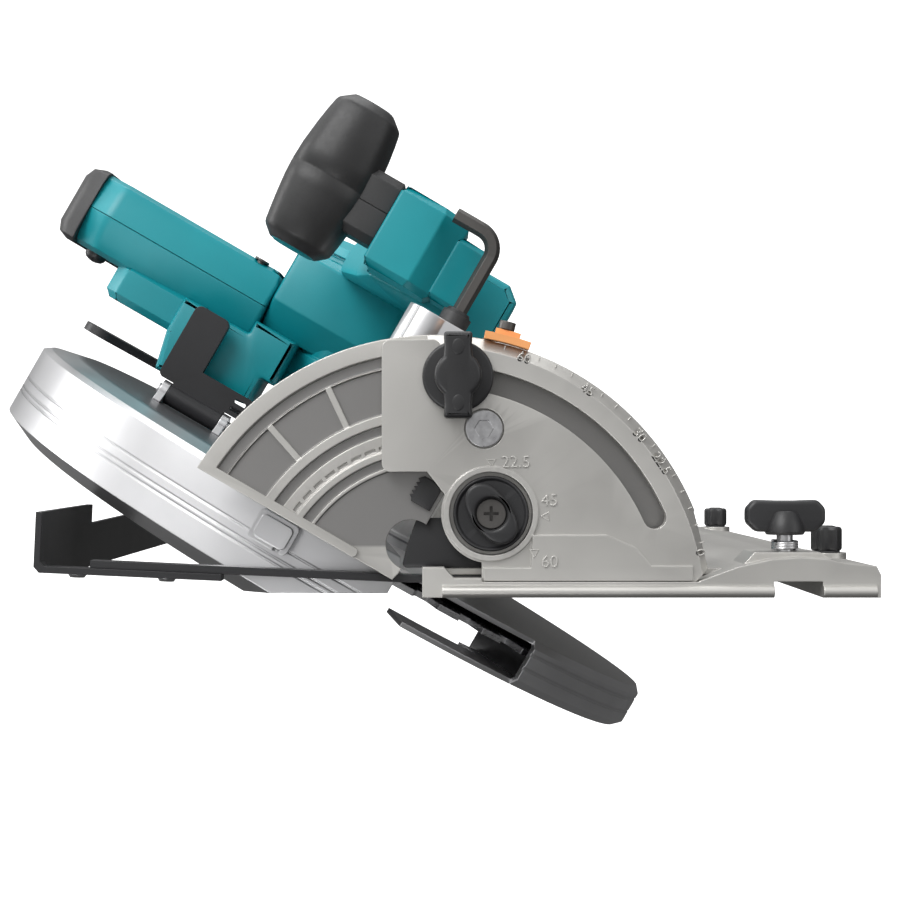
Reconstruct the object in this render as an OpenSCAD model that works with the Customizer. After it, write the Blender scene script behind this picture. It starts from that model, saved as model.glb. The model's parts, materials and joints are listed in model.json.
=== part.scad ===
// Cordless circular saw with a bevelling head and a die-cast base that
// rides on a guide rail. Millimetres, +Z up, +X to the motor side, -Y is
// the front. The origin is on the sole, where the cut line crosses the
// front strip of the base. The head is drawn upright and then tilted.

/* [Blade] */
// Outside diameter of the saw blade
blade_d = 270; // [260:1:270]
// Thickness of the blade's plate
blade_t = 2.4; // [1.6:0.1:2.6]
// Number of carbide teeth
blade_teeth = 40; // [24:2:60]
// Distance from the cut-line origin back to the blade's centre
blade_y = 160; // [159:1:161]
// Height of the blade's centre above the sole at full depth
spindle_z = 35; // [35:0.5:37]

/* [Bevel] */
// Bevel angle that the head is stored at
bevel = 60; // [0:1:60]
// Height of the bevel axis, which lies just under the sole
bevel_z = -6.6; // [-7:0.1:-6]
// Middle radius of the slot that the bevel clamp runs in
slot_r = 84.2; // [83:0.1:85]

/* [Base] */
// Overall width of the base
base_w = 160; // [158:1:164]
// Overall length of the base
base_l = 390; // [380:5:400]
// Thickness of the sole
sole_t = 4.3; // [4:0.1:5]
// Width of the guide-rail channel
rail_w = 17.1; // [16.5:0.1:18]
// Height of the guide-rail channel
rail_h = 5.6; // [5:0.1:5.8]

/* [Motor] */
// Outside radius of the motor housing
motor_r = 43.5; // [43:0.5:44.5]
// Height of the motor's axis above the sole
motor_z = 72; // [72:0.5:73]

/* [Grip] */
// Length of the barrel-shaped front grip
grip_l = 62; // [58:1:66]
// Largest diameter of the front grip
grip_d = 34; // [31:1:35]

/* [Hidden] */
$fn = 96;
eps = 0.01;

// base
base_x0 = -4.5;
base_x1 = base_x0 + base_w;
base_y0 = -20;
base_y1 = base_y0 + base_l;
rail_x = 126.7;
rule_y = -2.75;
rule_hw = 3.75;
rule_z0 = 4.4;
rule_z1 = 7.2;
rule_bend_x = -9;
rule_rise = 2.6;
rule_length = 114;
plate_y0 = -18;
plate_y1 = -13;
knob_x = 19.5;
knob_z = 29.3;
rear_y0 = 330;
rear_y1 = 335;

// sector and depth pivot
sector_y0 = -12.6;
sector_y1 = -8.5;
rear_slot_r = 47;
stud_a = 24.6;
pivot_y = 14;
pivot_z = 48;
pivot_r = 4;
guide_r = 255;
depth_range = 28;

// spindle, gears and motor
gear_m = 1.25;
n_spindle = 32;
n_pinion = 11;
n_middle = 26;
n_motor = 9;
c1 = gear_m * (n_spindle + n_pinion) / 2;
c2 = gear_m * (n_middle + n_motor) / 2;
mid_y = blade_y + 4;
mid_z = spindle_z + sqrt(c1 * c1 - 16);
motor_y = mid_y + sqrt(c2 * c2 - pow(motor_z - mid_z, 2));
shaft_r = 8.5;
nose_r = 30;

// guards
guard_r = 158;
guard_w = 2.4;
lower_r = 142;
lower_x0 = -13;
mouth_a = 216;
lower_x1 = 6.5;

// handle
seam_x = 68;
handle_x0 = 51.5;
handle_x1 = 84.5;

// front grip and hook
grip_x = 121;
grip_y = 40;
grip_z = 108;
hook_x = 15;
hook_y = 128;

// extrudes a front-view (x, z) outline from y0 to y1
module slab_y(y0, y1) {
  translate([0, y1, 0]) rotate([90, 0, 0]) linear_extrude(y1 - y0) children();
}
// extrudes a side-view (y, z) outline from x0 to x1
module slab_x(x0, x1) {
  translate([x0, 0, 0]) rotate([90, 0, 90]) linear_extrude(x1 - x0) children();
}
// cylinder along X
module rod_x(x0, x1, y, z, r, r2 = 0) {
  translate([x0, y, z]) rotate([0, 90, 0]) cylinder(h = x1 - x0, r1 = r, r2 = r2 > 0 ? r2 : r);
}
// cylinder along Y
module rod_y(y0, y1, x, z, r) {
  translate([x, y0, z]) rotate([-90, 0, 0]) cylinder(h = y1 - y0, r = r);
}
// ring sector about the bevel axis, angles from +X up
module arc_y(r0, r1, a0, a1, y0, y1) {
  translate([0, y1, bevel_z]) rotate([90, 0, 0]) rotate_extrude(angle = a1 - a0, start = a0)
    translate([r0, 0]) square([r1 - r0, y1 - y0]);
}
// ring sector about an axis along X, angles from +Y up
module arc_x(r0, r1, a0, a1, x0, x1, y, z) {
  translate([x0, y, z]) rotate([90, 0, 90]) rotate_extrude(angle = a1 - a0, start = a0)
    translate([r0, 0]) square([r1 - r0, x1 - x0]);
}
// box given by its corners
module block(a, b) {
  translate(a) cube(b - a);
}
// rounded rectangle from corner a to corner b
module pad(a, b, r) {
  hull() for (x = [a[0] + r, b[0] - r], y = [a[1] + r, b[1] - r]) translate([x, y]) circle(r, $fn = 32);
}
// tilts what is drawn upright to the stored bevel
module tilt() {
  translate([0, 0, bevel_z]) rotate([0, -bevel, 0]) translate([0, 0, -bevel_z]) children();
}
// gear outline: straight-sided teeth with backlash; a tooth points at phase
module gear_2d(n, phase) {
  r = gear_m * n / 2;
  root = r - 1.25 * gear_m;
  tip = r + 0.75 * gear_m;
  half = 0.19 * gear_m * PI;
  union() {
    circle(root + 0.05);
    for (i = [0:n - 1]) rotate(phase + i * 360 / n)
      polygon([[root - 0.4, -half * 1.6], [r, -half], [tip, -half * 0.55],
        [tip, half * 0.55], [r, half], [root - 0.4, half * 1.6]]);
  }
}
function polar(r, a) = [r * cos(a), r * sin(a)];
// outline of an arc slot with round ends, half as wide as hw doubled
function slot_points(r, hw, a0, a1) = concat(
  [for (i = [0:24]) polar(r + hw, a0 + (a1 - a0) * i / 24)],
  [for (i = [1:7]) polar(r, a1) + polar(hw, a1 + i * 22.5)],
  [for (i = [24:-1:0]) polar(r - hw, a0 + (a1 - a0) * i / 24)],
  [for (i = [1:7]) polar(r, a0) + polar(hw, a0 + 180 + i * 22.5)]);

// ---- base ----
module base_outline() {
  polygon([[base_x0, 0], [base_x1, 0], [base_x1, 8], [base_x1 - 1.5, 11], [143, 12], [137.3, 13.3],
    [127.4, 14], [117.6, 13.3], [105.9, 10.8], [92.7, 6], [90, sole_t], [base_x0, sole_t]]);
}
module base_plate() color([0.72, 0.71, 0.69]) {
  difference() {
    union() {
      slab_y(base_y0, base_y1) base_outline();
      // rounded front lip
      translate([2.5, base_y0, sole_t / 2]) rotate([0, 90, 0])
        cylinder(h = base_x1 - 4, r = sole_t / 2);
      // front wall, pedestal of the angle plate and tunnel of the fence rule
      slab_y(base_y0, plate_y1) polygon([[base_x0, 1], [base_x0, 10.6], [3, 10.6], [6.5, 6.8],
        [16.3, 6.8], [16.3, 5.5], [92, 5.5], [92, 1]]);
      block([base_x0, plate_y1 - eps, 1], [96, -6.6, 5.5]);
      block([base_x0, -6.6 - eps, 1], [112, 12.2, 9.6]);
      // hump under the wing bolt
      slab_y(-13, 11) polygon([[105, 7.5], [112.6, 15.5], [135.7, 15.5], [141, 12], [141, 7.5]]);
      // ribs beside the opening and along the hump
      block([13, 12, 1], [16.5, 312, 7.5]);
      block([84, 12, 1], [87, 322, 7.5]);
      // boss behind the front strip
      slab_y(-6.4, 1.5) polygon([[-4.5, 9], [-4.5, 17], [-1, 22.5], [4, 22.5], [18, 14], [18, 9]]);
      // raised rear strip with the seat of the rear angle plate
      block([base_x0, 322, 1], [88, rear_y1, 5.5]);
      for (y = [32, 318]) translate([147, y, 8]) cylinder(h = 5.4, r = 7.4);
    }
    // opening for the guards, open to the left
    block([base_x0 - 1, 13, -1], [12.5, 312, 30]);
    // guide-rail channel
    block([rail_x - rail_w / 2, base_y0 - 3, -1], [rail_x + rail_w / 2, base_y1 + 1, rail_h]);
    // tunnel for the fence rule
    block([base_x0 - 1, rule_y - rule_hw - 0.2, rule_z0 - 0.15], [112, rule_y + rule_hw + 0.2, rule_z1 + 0.15]);
    // thread holes: wing bolt, adjusters and angle-plate screws
    translate([125, rule_y, rule_z1]) cylinder(h = 9, r = 3.05);
    for (y = [32, 318]) translate([147, y, 2]) cylinder(h = 14, r = 2.55);
    for (x = [30, 52, 72]) translate([x, -9.8, 1.5]) cylinder(h = 6, r = 2);
    for (x = [66, 78]) translate([x, 340, 1.5]) cylinder(h = 6, r = 2);
  }
}
// plate with the arc slot and the degree scale; its rim slopes back
module front_plate_2d() {
  intersection() {
    circle(98.5, $fn = 180);
    polygon([[-2.8, 50.5], [-2.8, 110], [70, 110], [110, 60], [91, 36.5], [95.8, 16.5], [91.2, 12.1],
      [16.3, 12.1], [16.3, 22], [3, 43]]);
  }
  translate([knob_x, knob_z - bevel_z]) circle(17.4);
}
module front_angle_plate() color([0.8, 0.79, 0.77]) {
  difference() {
    union() {
      intersection() {
        translate([0, 0, bevel_z]) slab_y(plate_y0, plate_y1) front_plate_2d();
        translate([0, plate_y0 - eps, bevel_z]) rotate([-90, 0, 0]) cylinder(h = 6, r1 = 94.5, r2 = 100);
      }
      // left flange
      slab_y(plate_y0, plate_y1) pad([-18.7, 43.9], [2, 90.2], 3);
      // ledge across the lower part
      translate([0, 0, bevel_z]) slab_y(plate_y0 - 1.6, plate_y0 + eps)
        polygon([[17, 12.4], [17, 17], [33.5, 17], [34, 28.4], [60, 28.4], [70, 24], [75.5, 17.6], [90, 17.6], [90, 12.4]]);
      rod_y(plate_y0 - 1.2, plate_y1, knob_x, knob_z, 16.6);
      // foot that is screwed down to the base
      block([22, plate_y1 - eps, 5.5], [88, -6.8, 8.5]);
      // curved wall behind the slot, standing on the foot
      intersection() {
        translate([0, 0, bevel_z]) slab_y(-8.2, -7.2) polygon(slot_points(84.5, 6, 9, 80));
        block([0, -9, 7], [96, -6, 120]);
      }
    }
    translate([0, 0, bevel_z]) slab_y(plate_y0 - 3, plate_y1 + 1)
      polygon(slot_points(slot_r, 4.05, stud_a - 0.4, 85.2));
    rod_y(plate_y0 - 5, plate_y1 - 1.2, knob_x, knob_z, 14.6);
    rod_y(plate_y0 - 1, plate_y1 + 1, 17.1, 59, 3.2);
    rod_y(plate_y0 - 1, plate_y0 + 2.4, 17.1, 59, 7);
    for (x = [30, 52, 72]) translate([x, -9.8, 5]) cylinder(h = 6, r = 2.1);
  }
}
module rear_angle_plate() color([0.75, 0.74, 0.72]) {
  difference() {
    union() {
      translate([0, 0, bevel_z]) slab_y(rear_y0, rear_y1) intersection() {
        circle(58);
        polygon([[-4, 20], [-4, 60], [60, 60], [60, 12.1], [8, 12.1]]);
      }
      block([50, rear_y0, 5.5], [84, 345, 8.5]);
    }
    for (x = [66, 78]) translate([x, 340, 6.2]) cylinder(h = 4, r = 3.7);
    translate([0, 0, bevel_z]) slab_y(rear_y0 - 1, rear_y1 + 1)
      polygon(slot_points(rear_slot_r, 3.3, stud_a - 0.4, 85.2));
    for (x = [66, 78]) translate([x, 340, 5]) cylinder(h = 6, r = 2.1);
  }
}
// socket-head screw along +Z with its head up
module cap_screw(r, length, head_r, head_h) {
  difference() {
    union() {
      translate([0, 0, -length]) cylinder(h = length + eps, r = r);
      cylinder(h = head_h, r = head_r);
    }
    translate([0, 0, head_h * 0.4]) cylinder(h = head_h, r = head_r * 0.52, $fn = 6);
  }
}
module angle_plate_screws() color([0.25, 0.25, 0.26]) {
  for (x = [30, 52, 72]) translate([x, -9.8, 8.5]) cap_screw(1.95, 6.5, 2.9, 2.2);
  for (x = [66, 78]) translate([x, 340, 6.2]) cap_screw(1.95, 4.4, 3.4, 2);
  translate([17.1, plate_y0 + 2.4, 59]) rotate([90, 0, 0]) cap_screw(3.1, 2.3, 6.4, 2.6);
}
// knob with two lobes that chooses the bevel stop
module bevel_stop_knob() color([0.13, 0.13, 0.14]) {
  difference() {
    union() {
      rod_y(-19.6, -14.3, knob_x, knob_z, 13.2);
      intersection() {
        rod_y(-24, -19.6 + eps, knob_x, knob_z, 13.2);
        translate([knob_x, 0, knob_z]) rotate([0, 35, 0]) slab_y(-24, -19.5)
          pad([-13.4, -6.6], [13.4, 6.6], 5);
      }
    }
    rod_y(-25, -16, knob_x, knob_z, 5.4);
  }
}
module stop_knob_screw() color([0.2, 0.2, 0.21]) {
  difference() {
    rod_y(-21.5, -16, knob_x, knob_z, 5.1);
    for (a = [0, 90]) translate([knob_x, -21.6, knob_z]) rotate([0, a, 0])
      translate([-2.6, 0, -0.5]) cube([5.2, 1.8, 1]);
  }
}
// lobed finger nut that takes up play on the guide rail
module rail_adjuster(y) {
  translate([147, y, 0]) {
    translate([0, 0, 13.7]) linear_extrude(9.8) difference() {
      circle(5.9);
      for (a = [30:60:330]) rotate(a) translate([6.9, 0]) circle(1.9, $fn = 32);
    }
    translate([0, 0, 3]) cylinder(h = 11, r = 2.5);
  }
}
module front_rail_adjuster() color([0.12, 0.12, 0.13]) rail_adjuster(32);
module rear_rail_adjuster() color([0.12, 0.12, 0.13]) rail_adjuster(318);
module fence_wing_bolt() color([0.12, 0.12, 0.13]) translate([125, rule_y, 0]) {
  difference() {
    union() {
      translate([0, 0, 7.6]) cylinder(h = 15.5, r = 3);
      translate([0, 0, 20]) cylinder(h = 9, r1 = 7.2, r2 = 4.6);
      translate([0, 3.2, 0]) rotate([90, 0, 0]) linear_extrude(6.4) {
        pad([-14.2, 22], [14.2, 34], 4.5);
        pad([-6, 20.4], [6, 30], 2);
      }
    }
    translate([0, 5, 40]) rotate([90, 0, 0]) cylinder(h = 10, r = 9.5);
  }
}
module fence_spring() color([0.55, 0.55, 0.56]) translate([125, rule_y, 0])
  for (i = [0:3]) translate([0, 0, 16 + i * 1.1]) rotate_extrude() translate([4.4, 0]) circle(0.5, $fn = 24);

// ---- rip fence ----
// the part of the fence outside the base is cranked up a little
module crank() {
  translate([rule_bend_x, 0, rule_z0]) rotate([0, rule_rise, 0]) translate([-rule_bend_x, 0, -rule_z0]) children();
}
module fence_rule() color([0.1, 0.1, 0.1]) {
  out = [rule_bend_x, rule_z0] + polar(rule_length, 180 - rule_rise);
  slab_y(rule_y - rule_hw, rule_y + rule_hw) polygon([[108, rule_z0], [108, rule_z1], [rule_bend_x, rule_z1],
    out + polar(rule_z1 - rule_z0, 90 - rule_rise), out, [rule_bend_x, rule_z0]]);
}
// standing plate with notches in its top edge, and the tongue that carries the rule
module fence_plate() color([0.1, 0.1, 0.1]) crank() {
  slab_x(-142.8, -140.6) polygon([[-8, 4], [-8, 23.6], [90, 24.2], [90, 16.5], [212, 17.8], [212, 23.5],
    [300, 24], [300, 11.5], [330, 11], [330, 6.3], [345, 5.5], [345, -1], [60, -1], [20, 2]]);
  slab_y(-8, 0.6) polygon([[-142.8, 4], [-140.8, 2], [-76, 2], [-76, rule_z0], [-139, rule_z0], [-140.7, 6]]);
}
module fence_rivets() color([0.35, 0.35, 0.36]) crank()
  for (x = [-128, -96]) translate([x, rule_y, 0.7]) cylinder(h = 1.3, r1 = 2.6, r2 = 3.4);

// ---- bevel carriage ----
module front_sector() color([0.77, 0.76, 0.74]) tilt() {
  difference() {
    union() {
      intersection() {
        translate([0, 0, bevel_z]) translate([0, sector_y1, 0]) rotate([90, 0, 0])
          rotate_extrude(angle = 72, start = 18)
            polygon([[19.5, 0], [98.8, 0], [98.8, 4.1], [93, 4.1], [92.5, 2], [89, 2], [88.5, 3.1], [88, 1.9],
              [73.2, 1.9], [72.8, 4.1], [69.5, 4.1], [69.2, 1.7], [66.2, 1.7], [65.9, 3.4], [60.5, 3.4],
              [60.2, 4.1], [57.9, 4.1], [57.6, 2], [54.7, 2], [54.4, 2.8], [53.3, 2.8], [53, 1.9], [19.5, 1.9]]);
        slab_y(-20, 0) polygon([[3, 12], [90, 12], [110, 40], [60, 110], [3, 110]]);
      }
      // ribs across the recessed panels
      for (a = [38, 55.3, 71.3]) translate([0, sector_y1, bevel_z]) rotate([90, 0, 0]) rotate(a)
        translate([72.8, -1.1]) cube([16, 2.2, 3.4]);
      // edge rib beside the blade
      slab_y(sector_y0, sector_y1) pad([3, 28], [6.4, 91], 1.5);
      // ears that hold the depth pivot
      slab_x(18, 26)
        polygon([[sector_y1 - eps, 40], [sector_y1 - eps, 58.5], [pivot_y, 58.5], [pivot_y, 37.5], [0, 37.5]]);
      slab_x(62, 70)
        polygon([[sector_y1 - eps, 14], [sector_y1 - eps, 27.5], [-6.6, 27.5], [-6.6, 58.5],
          [pivot_y, 58.5], [pivot_y, 37.5], [2, 14]]);
      for (x = [18, 62]) rod_x(x, x + 8, pivot_y, pivot_z, 10.5);
    }
    for (x = [18, 62]) rod_x(x - 1, x + 9, pivot_y, pivot_z, pivot_r);
    // segmented narrow slot
    for (a = [30:5:80]) arc_y(61.2, 62.3, a, a + 3.6, sector_y0 - 1, sector_y0 + 1.6);
    translate([polar(slot_r, stud_a)[0], 0, polar(slot_r, stud_a)[1] + bevel_z]) rod_y(-20, 0, 0, 0, 3.5);
    // clearance round the guard's nose, a curved cut-out
    rod_y(-20, 0, 17, 13, 9);
  }
}
module rear_sector() color([0.7, 0.69, 0.67]) tilt() {
  difference() {
    union() {
      translate([0, 0, bevel_z]) slab_y(323, 329.6) intersection() {
        circle(56);
        polygon([[3, 17], [60, 17], [60, 60], [3, 60]]);
      }
      block([14, 300, 14], [17.9, 323 + eps, 36]);
      block([14, 318, 14], [28, 323 + eps, 36]);
    }
    translate([polar(rear_slot_r, stud_a)[0], 0, polar(rear_slot_r, stud_a)[1] + bevel_z])
      rod_y(320, 332, 0, 0, 2.9);
  }
}
module depth_pivot_pin() color([0.6, 0.6, 0.62]) tilt() {
  rod_x(15.5, 93, pivot_y, pivot_z, pivot_r - 0.05);
  rod_x(14.5, 18 - eps, pivot_y, pivot_z, 6.5);
}
// curved plate about the depth pivot, with the slot of the depth lock
module depth_guide() color([0.14, 0.14, 0.15]) tilt() {
  difference() {
    union() {
      arc_x(guide_r - 10, guide_r + 10, -8, 33.5, 18, 22, pivot_y, pivot_z);
      rod_x(18, 22, pivot_y + polar(guide_r, 33.5)[0], pivot_z + polar(guide_r, 33.5)[1], 10);
      slab_x(18, 22) polygon([[262, 13], [318, 13], [318, 34], [272, 34], [262, 48]]);
    }
    translate([0, pivot_y, pivot_z]) slab_x(17, 23) polygon(slot_points(guide_r, 3.3, -0.1, depth_range + 0.2));
  }
}
module clamp_studs() color([0.55, 0.55, 0.57]) tilt() {
  translate([polar(slot_r, stud_a)[0], 0, polar(slot_r, stud_a)[1] + bevel_z]) rod_y(-27, sector_y1, 0, 0, 3.5);
  translate([polar(rear_slot_r, stud_a)[0], 0, polar(rear_slot_r, stud_a)[1] + bevel_z]) rod_y(323, 345, 0, 0, 2.9);
}
module bevel_pointer() color([0.93, 0.6, 0.35]) tilt() difference() {
  union() {
    arc_y(98.9, 101.6, 10.6, 20, -16.5, -8.6);
    arc_y(98.9, 103.6, 13, 18, -13, -8.6);
  }
  translate([0, -10.8, bevel_z]) rotate([0, -16, 0]) rod_x(97, 105, 0, 0, 1.1);
}
module pointer_screw() color([0.1, 0.1, 0.1]) tilt() translate([0, -10.8, bevel_z]) rotate([0, -16, 0]) {
  rod_x(98.9, 103.8, 0, 0, 1.05);
  rod_x(103.8, 106.6, 0, 0, 2.9);
}
// round disc with a waisted grip bar
module front_clamp_knob() color([0.13, 0.13, 0.14]) tilt()
  translate([polar(slot_r, stud_a)[0], 0, polar(slot_r, stud_a)[1] + bevel_z]) difference() {
    union() {
      rod_y(-22.6, -18.4, 0, 0, 12.4);
      rod_y(-31, -22.6 - eps, 0, 0, 8.1);
      rotate([0, -30, 0]) difference() {
        slab_y(-33.4, -22.5) pad([-14.85, -5], [14.85, 5], 4);
        for (s = [-1, 1]) rod_y(-40, -22.7, 0, s * 17.4, 13);
      }
    }
    rod_y(-27.05, -18, 0, 0, 3.5);
  }
module rear_clamp_lever() color([0.12, 0.12, 0.13]) tilt()
  translate([polar(rear_slot_r, stud_a)[0], 0, polar(rear_slot_r, stud_a)[1] + bevel_z]) difference() {
    union() {
      rod_y(335.4, 348, 0, 0, 7.5);
      slab_y(340, 347) pad([0, -4], [34, 4], 3.5);
    }
    rod_y(335, 345.05, 0, 0, 2.9);
  }

// ---- guards ----
module upper_guard() color([0.75, 0.75, 0.76]) tilt() difference() {
  union() {
    translate([0, blade_y, spindle_z]) rotate([90, 0, 90]) rotate_extrude(angle = 197, start = -8.5)
      difference() {
        polygon([[58, -29.5], [guard_r - 11, -29.5], [guard_r, -24], [guard_r, 5], [guard_r - 3, 7],
          [guard_r - 17, 10], [nose_r, 10], [nose_r, 10 - guard_w], [guard_r - 18, 10 - guard_w],
          [guard_r - guard_w, 4], [guard_r - guard_w, -22.5], [guard_r - 12, guard_w - 29.5],
          [58, guard_w - 29.5]]);
        // grooves round the rim
        for (x = [-14.6, -12.5, -8.4]) translate([guard_r - 0.6, x]) square([2, 0.8]);
      }
    // raised rib on the blade side
    slab_x(-31.3, -28) pad([118, 79], [128, 115], 3);
  }
  rod_x(7, 11, blade_y, spindle_z, nose_r);
  // lower ends cut flush with the sole at full bevel
  slab_y(-20, 340) polygon([[-40, 75.9], [-40, -40], [40, -40], [40, -62.7]]);
}
// box bracket on the front of the guard, with its screw socket
module guard_bracket() color([0.68, 0.68, 0.69]) tilt() difference() {
  union() {
    slab_y(-2, 8) pad([-10, 50], [2, 66], 2);
    slab_y(-4, 0) pad([-8.4, 51.6], [0.4, 64.4], 2);
  }
  rod_x(-40, 20, blade_y, spindle_z, guard_r);
  translate([-11, 0, 54]) rotate([0, 90, 0]) cylinder(h = 5, r = 2.2);
}
module lower_guard() color([0.6, 0.6, 0.61]) tilt()
  translate([0, blade_y, spindle_z]) rotate([90, 0, 90]) {
    rotate_extrude(angle = 358 - mouth_a, start = mouth_a) difference() {
      polygon([[100, lower_x0], [lower_r - 3, lower_x0], [lower_r, lower_x0 + 3], [lower_r, lower_x1 - 3],
        [lower_r - 2.5, lower_x1], [nose_r + 0.06, lower_x1], [nose_r + 0.06, 4.7], [138.6, 4.7],
        [139.6, 3.4], [139.6, lower_x0 + 3.4], [138, lower_x0 + 2], [100, lower_x0 + 2]]);
      for (x = [-5.5, 0.5]) translate([lower_r - 0.6, x]) square([2, 1.2]);
    }
    // side cheeks running on past the open mouth
    rotate_extrude(angle = mouth_a - 193.9, start = 194) polygon([[112, lower_x0], [lower_r - 3, lower_x0],
      [lower_r - 3, lower_x0 + 2], [112, lower_x0 + 2]]);
    rotate_extrude(angle = mouth_a - 185.9, start = 186) polygon([[nose_r + 0.06, 4.7], [lower_r - 2.5, 4.7],
      [lower_r - 2.5, lower_x1], [nose_r + 0.06, lower_x1]]);
  }

// ---- blade and spindle ----
module blade() color([0.66, 0.67, 0.68]) tilt() translate([0, blade_y, spindle_z]) rotate([90, 0, 90])
  difference() {
    union() {
      translate([0, 0, -blade_t / 2]) linear_extrude(blade_t) difference() {
        circle(blade_d / 2 - 1, $fn = 180);
        for (i = [0:blade_teeth - 1]) rotate(i * 360 / blade_teeth)
          polygon([polar(blade_d / 2 + 2, 1), polar(blade_d / 2 - 10, -0.2), polar(blade_d / 2 - 10, -2.6),
            polar(blade_d / 2 + 2, -4.6)]);
      }
    }
    cylinder(h = 10, r = 15, center = true);
    for (i = [0:3]) rotate(i * 90 + 20) translate([110, 0, 0]) cylinder(h = 10, r = 4, center = true);
  }
module spindle() color([0.6, 0.6, 0.62]) tilt() difference() {
  rod_x(-2, 41.8, blade_y, spindle_z, shaft_r);
  rod_x(-3, 16, blade_y, spindle_z, 4);
}
module blade_flanges() color([0.4, 0.4, 0.42]) tilt() difference() {
  union() {
    rod_x(blade_t / 2, 4, blade_y, spindle_z, 24);
    rod_x(-blade_t / 2, blade_t / 2 + eps, blade_y, spindle_z, 15);
    rod_x(-5.2, -blade_t / 2 - eps, blade_y, spindle_z, 24);
  }
  rod_x(-2, 5, blade_y, spindle_z, shaft_r);
  rod_x(-6, -1.9, blade_y, spindle_z, 4.6);
}
module blade_bolt() color([0.3, 0.3, 0.32]) tilt() {
  translate([0, blade_y, spindle_z]) rotate([0, 90, 0]) union() {
    translate([0, 0, -12.4]) cylinder(h = 5, r = 9, $fn = 6);
    translate([0, 0, -7.4 - eps]) cylinder(h = 2.2, r = 12);
    translate([0, 0, -5.3]) cylinder(h = 20, r = 3.95);
  }
}
module spindle_gear() color([0.55, 0.55, 0.57]) tilt() difference() {
  translate([18, blade_y, spindle_z]) rotate([90, 0, 90]) linear_extrude(9)
    gear_2d(n_spindle, atan2(mid_z - spindle_z, mid_y - blade_y));
  rod_x(17, 28, blade_y, spindle_z, shaft_r);
}
module intermediate_gear() color([0.55, 0.55, 0.57]) tilt() {
  back = atan2(mid_z - spindle_z, mid_y - blade_y) + 180;
  ahead = atan2(motor_z - mid_z, motor_y - mid_y);
  translate([17.6, mid_y, mid_z]) rotate([90, 0, 90]) linear_extrude(10)
    gear_2d(n_pinion, back + 180 / n_pinion);
  translate([28.5, mid_y, mid_z]) rotate([90, 0, 90]) linear_extrude(5.5) gear_2d(n_middle, ahead);
  rod_x(12, 41.5, mid_y, mid_z, 4);
}
module motor_rotor() color([0.5, 0.48, 0.46]) tilt() {
  ahead = atan2(motor_z - mid_z, motor_y - mid_y);
  translate([28.5, motor_y, motor_z]) rotate([90, 0, 90]) linear_extrude(6)
    gear_2d(n_motor, ahead + 180 + 180 / n_motor);
  rod_x(34, 106, motor_y, motor_z, 4);
  rod_x(54, 84, motor_y, motor_z, 20);
}
module cooling_fan() color([0.2, 0.2, 0.21]) tilt() difference() {
  translate([88, motor_y, motor_z]) rotate([90, 0, 90]) union() {
    cylinder(h = 2, r = 36);
    for (i = [0:12]) rotate(i * 360 / 13) translate([14, -0.8, 2 - eps]) cube([21, 1.6, 7]);
    cylinder(h = 9, r = 9);
  }
  rod_x(80, 100, motor_y, motor_z, 4);
}
module stator() color([0.45, 0.35, 0.28]) tilt() difference() {
  rod_x(52, 86, motor_y, motor_z, 38);
  rod_x(51, 87, motor_y, motor_z, 21);
  for (i = [0:11]) translate([0, motor_y, motor_z]) rotate([i * 30, 0, 0])
    block([51, 23, -3], [87, 33, 3]);
}
module ring_x(x0, x1, y, z, r0, r1) {
  difference() {
    rod_x(x0, x1, y, z, r1);
    rod_x(x0 - 1, x1 + 1, y, z, r0);
  }
}
module bearings() color([0.7, 0.7, 0.72]) tilt() {
  ring_x(7, 16, blade_y, spindle_z, shaft_r + 0.05, 17.5);
  ring_x(37, 42, blade_y, spindle_z, shaft_r + 0.05, 13);
  ring_x(12, 16, mid_y, mid_z, 4.05, 8);
  ring_x(37, 41, mid_y, mid_z, 4.05, 8);
  ring_x(39, 45, motor_y, motor_z, 4.05, 11);
  ring_x(100, 106, motor_y, motor_z, 4.05, 11);
}

// ---- gear housing ----
module gearcase_2d(g) {
  hull() {
    translate([blade_y, spindle_z]) circle(25.5 - g, $fn = 48);
    translate([mid_y, mid_z]) circle(24 - g, $fn = 48);
    translate([motor_y, motor_z]) circle(30 - g, $fn = 48);
  }
}
module gear_housing() color([0.72, 0.72, 0.73]) tilt() difference() {
  union() {
    slab_x(10, 36) gearcase_2d(0);
    rod_x(4.3, 10 + eps, blade_y, spindle_z, nose_r);
    rod_x(10, 12.2, blade_y, spindle_z, 31);
    // arm to the depth pivot and its two knuckles
    slab_x(26.3, 36) polygon([[pivot_y, 38], [135, 20], [150, 70], [112, 66], [30, 58], [pivot_y, 58]]);
    block([30, 27, 37], [93, 42, 57]);
    slab_x(26.3, 61.7) polygon([[pivot_y, 38], [28, 38], [28, 58], [pivot_y, 58]]);
    rod_x(26.3, 61.7, pivot_y, pivot_z, 10);
    slab_x(70.3, 93) polygon([[6, 33], [42, 33], [42, 57], [pivot_y, 57.5], [6, 54]]);
    rod_x(70.3, 93, pivot_y, pivot_z, 9.5);
    // boss of the shaft lock
    rod_y(126, 142, 20, 60, 5.8);
    // arm to the depth lock
    slab_x(11, 17.6) polygon([[170, 40], [guide_r + pivot_y, 38], [guide_r + pivot_y + 9, 44],
      [guide_r + pivot_y + 9, 53], [guide_r + pivot_y, 58], [195, 70], [180, 60]]);
  }
  slab_x(16.4, 36 + eps) gearcase_2d(2.8);
  rod_x(4, 17, blade_y, spindle_z, 12);
  rod_x(7, 17, blade_y, spindle_z, 17.5);
  rod_x(12, 17, mid_y, mid_z, 8);
  rod_x(20, 99, pivot_y, pivot_z, pivot_r);
  rod_x(70, 99, 19, 40.5, 3.1);
  rod_x(10, 19, pivot_y + guide_r, pivot_z, 3.05);
  rod_y(125, 150, 20, 60, 3.45);
}
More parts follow.
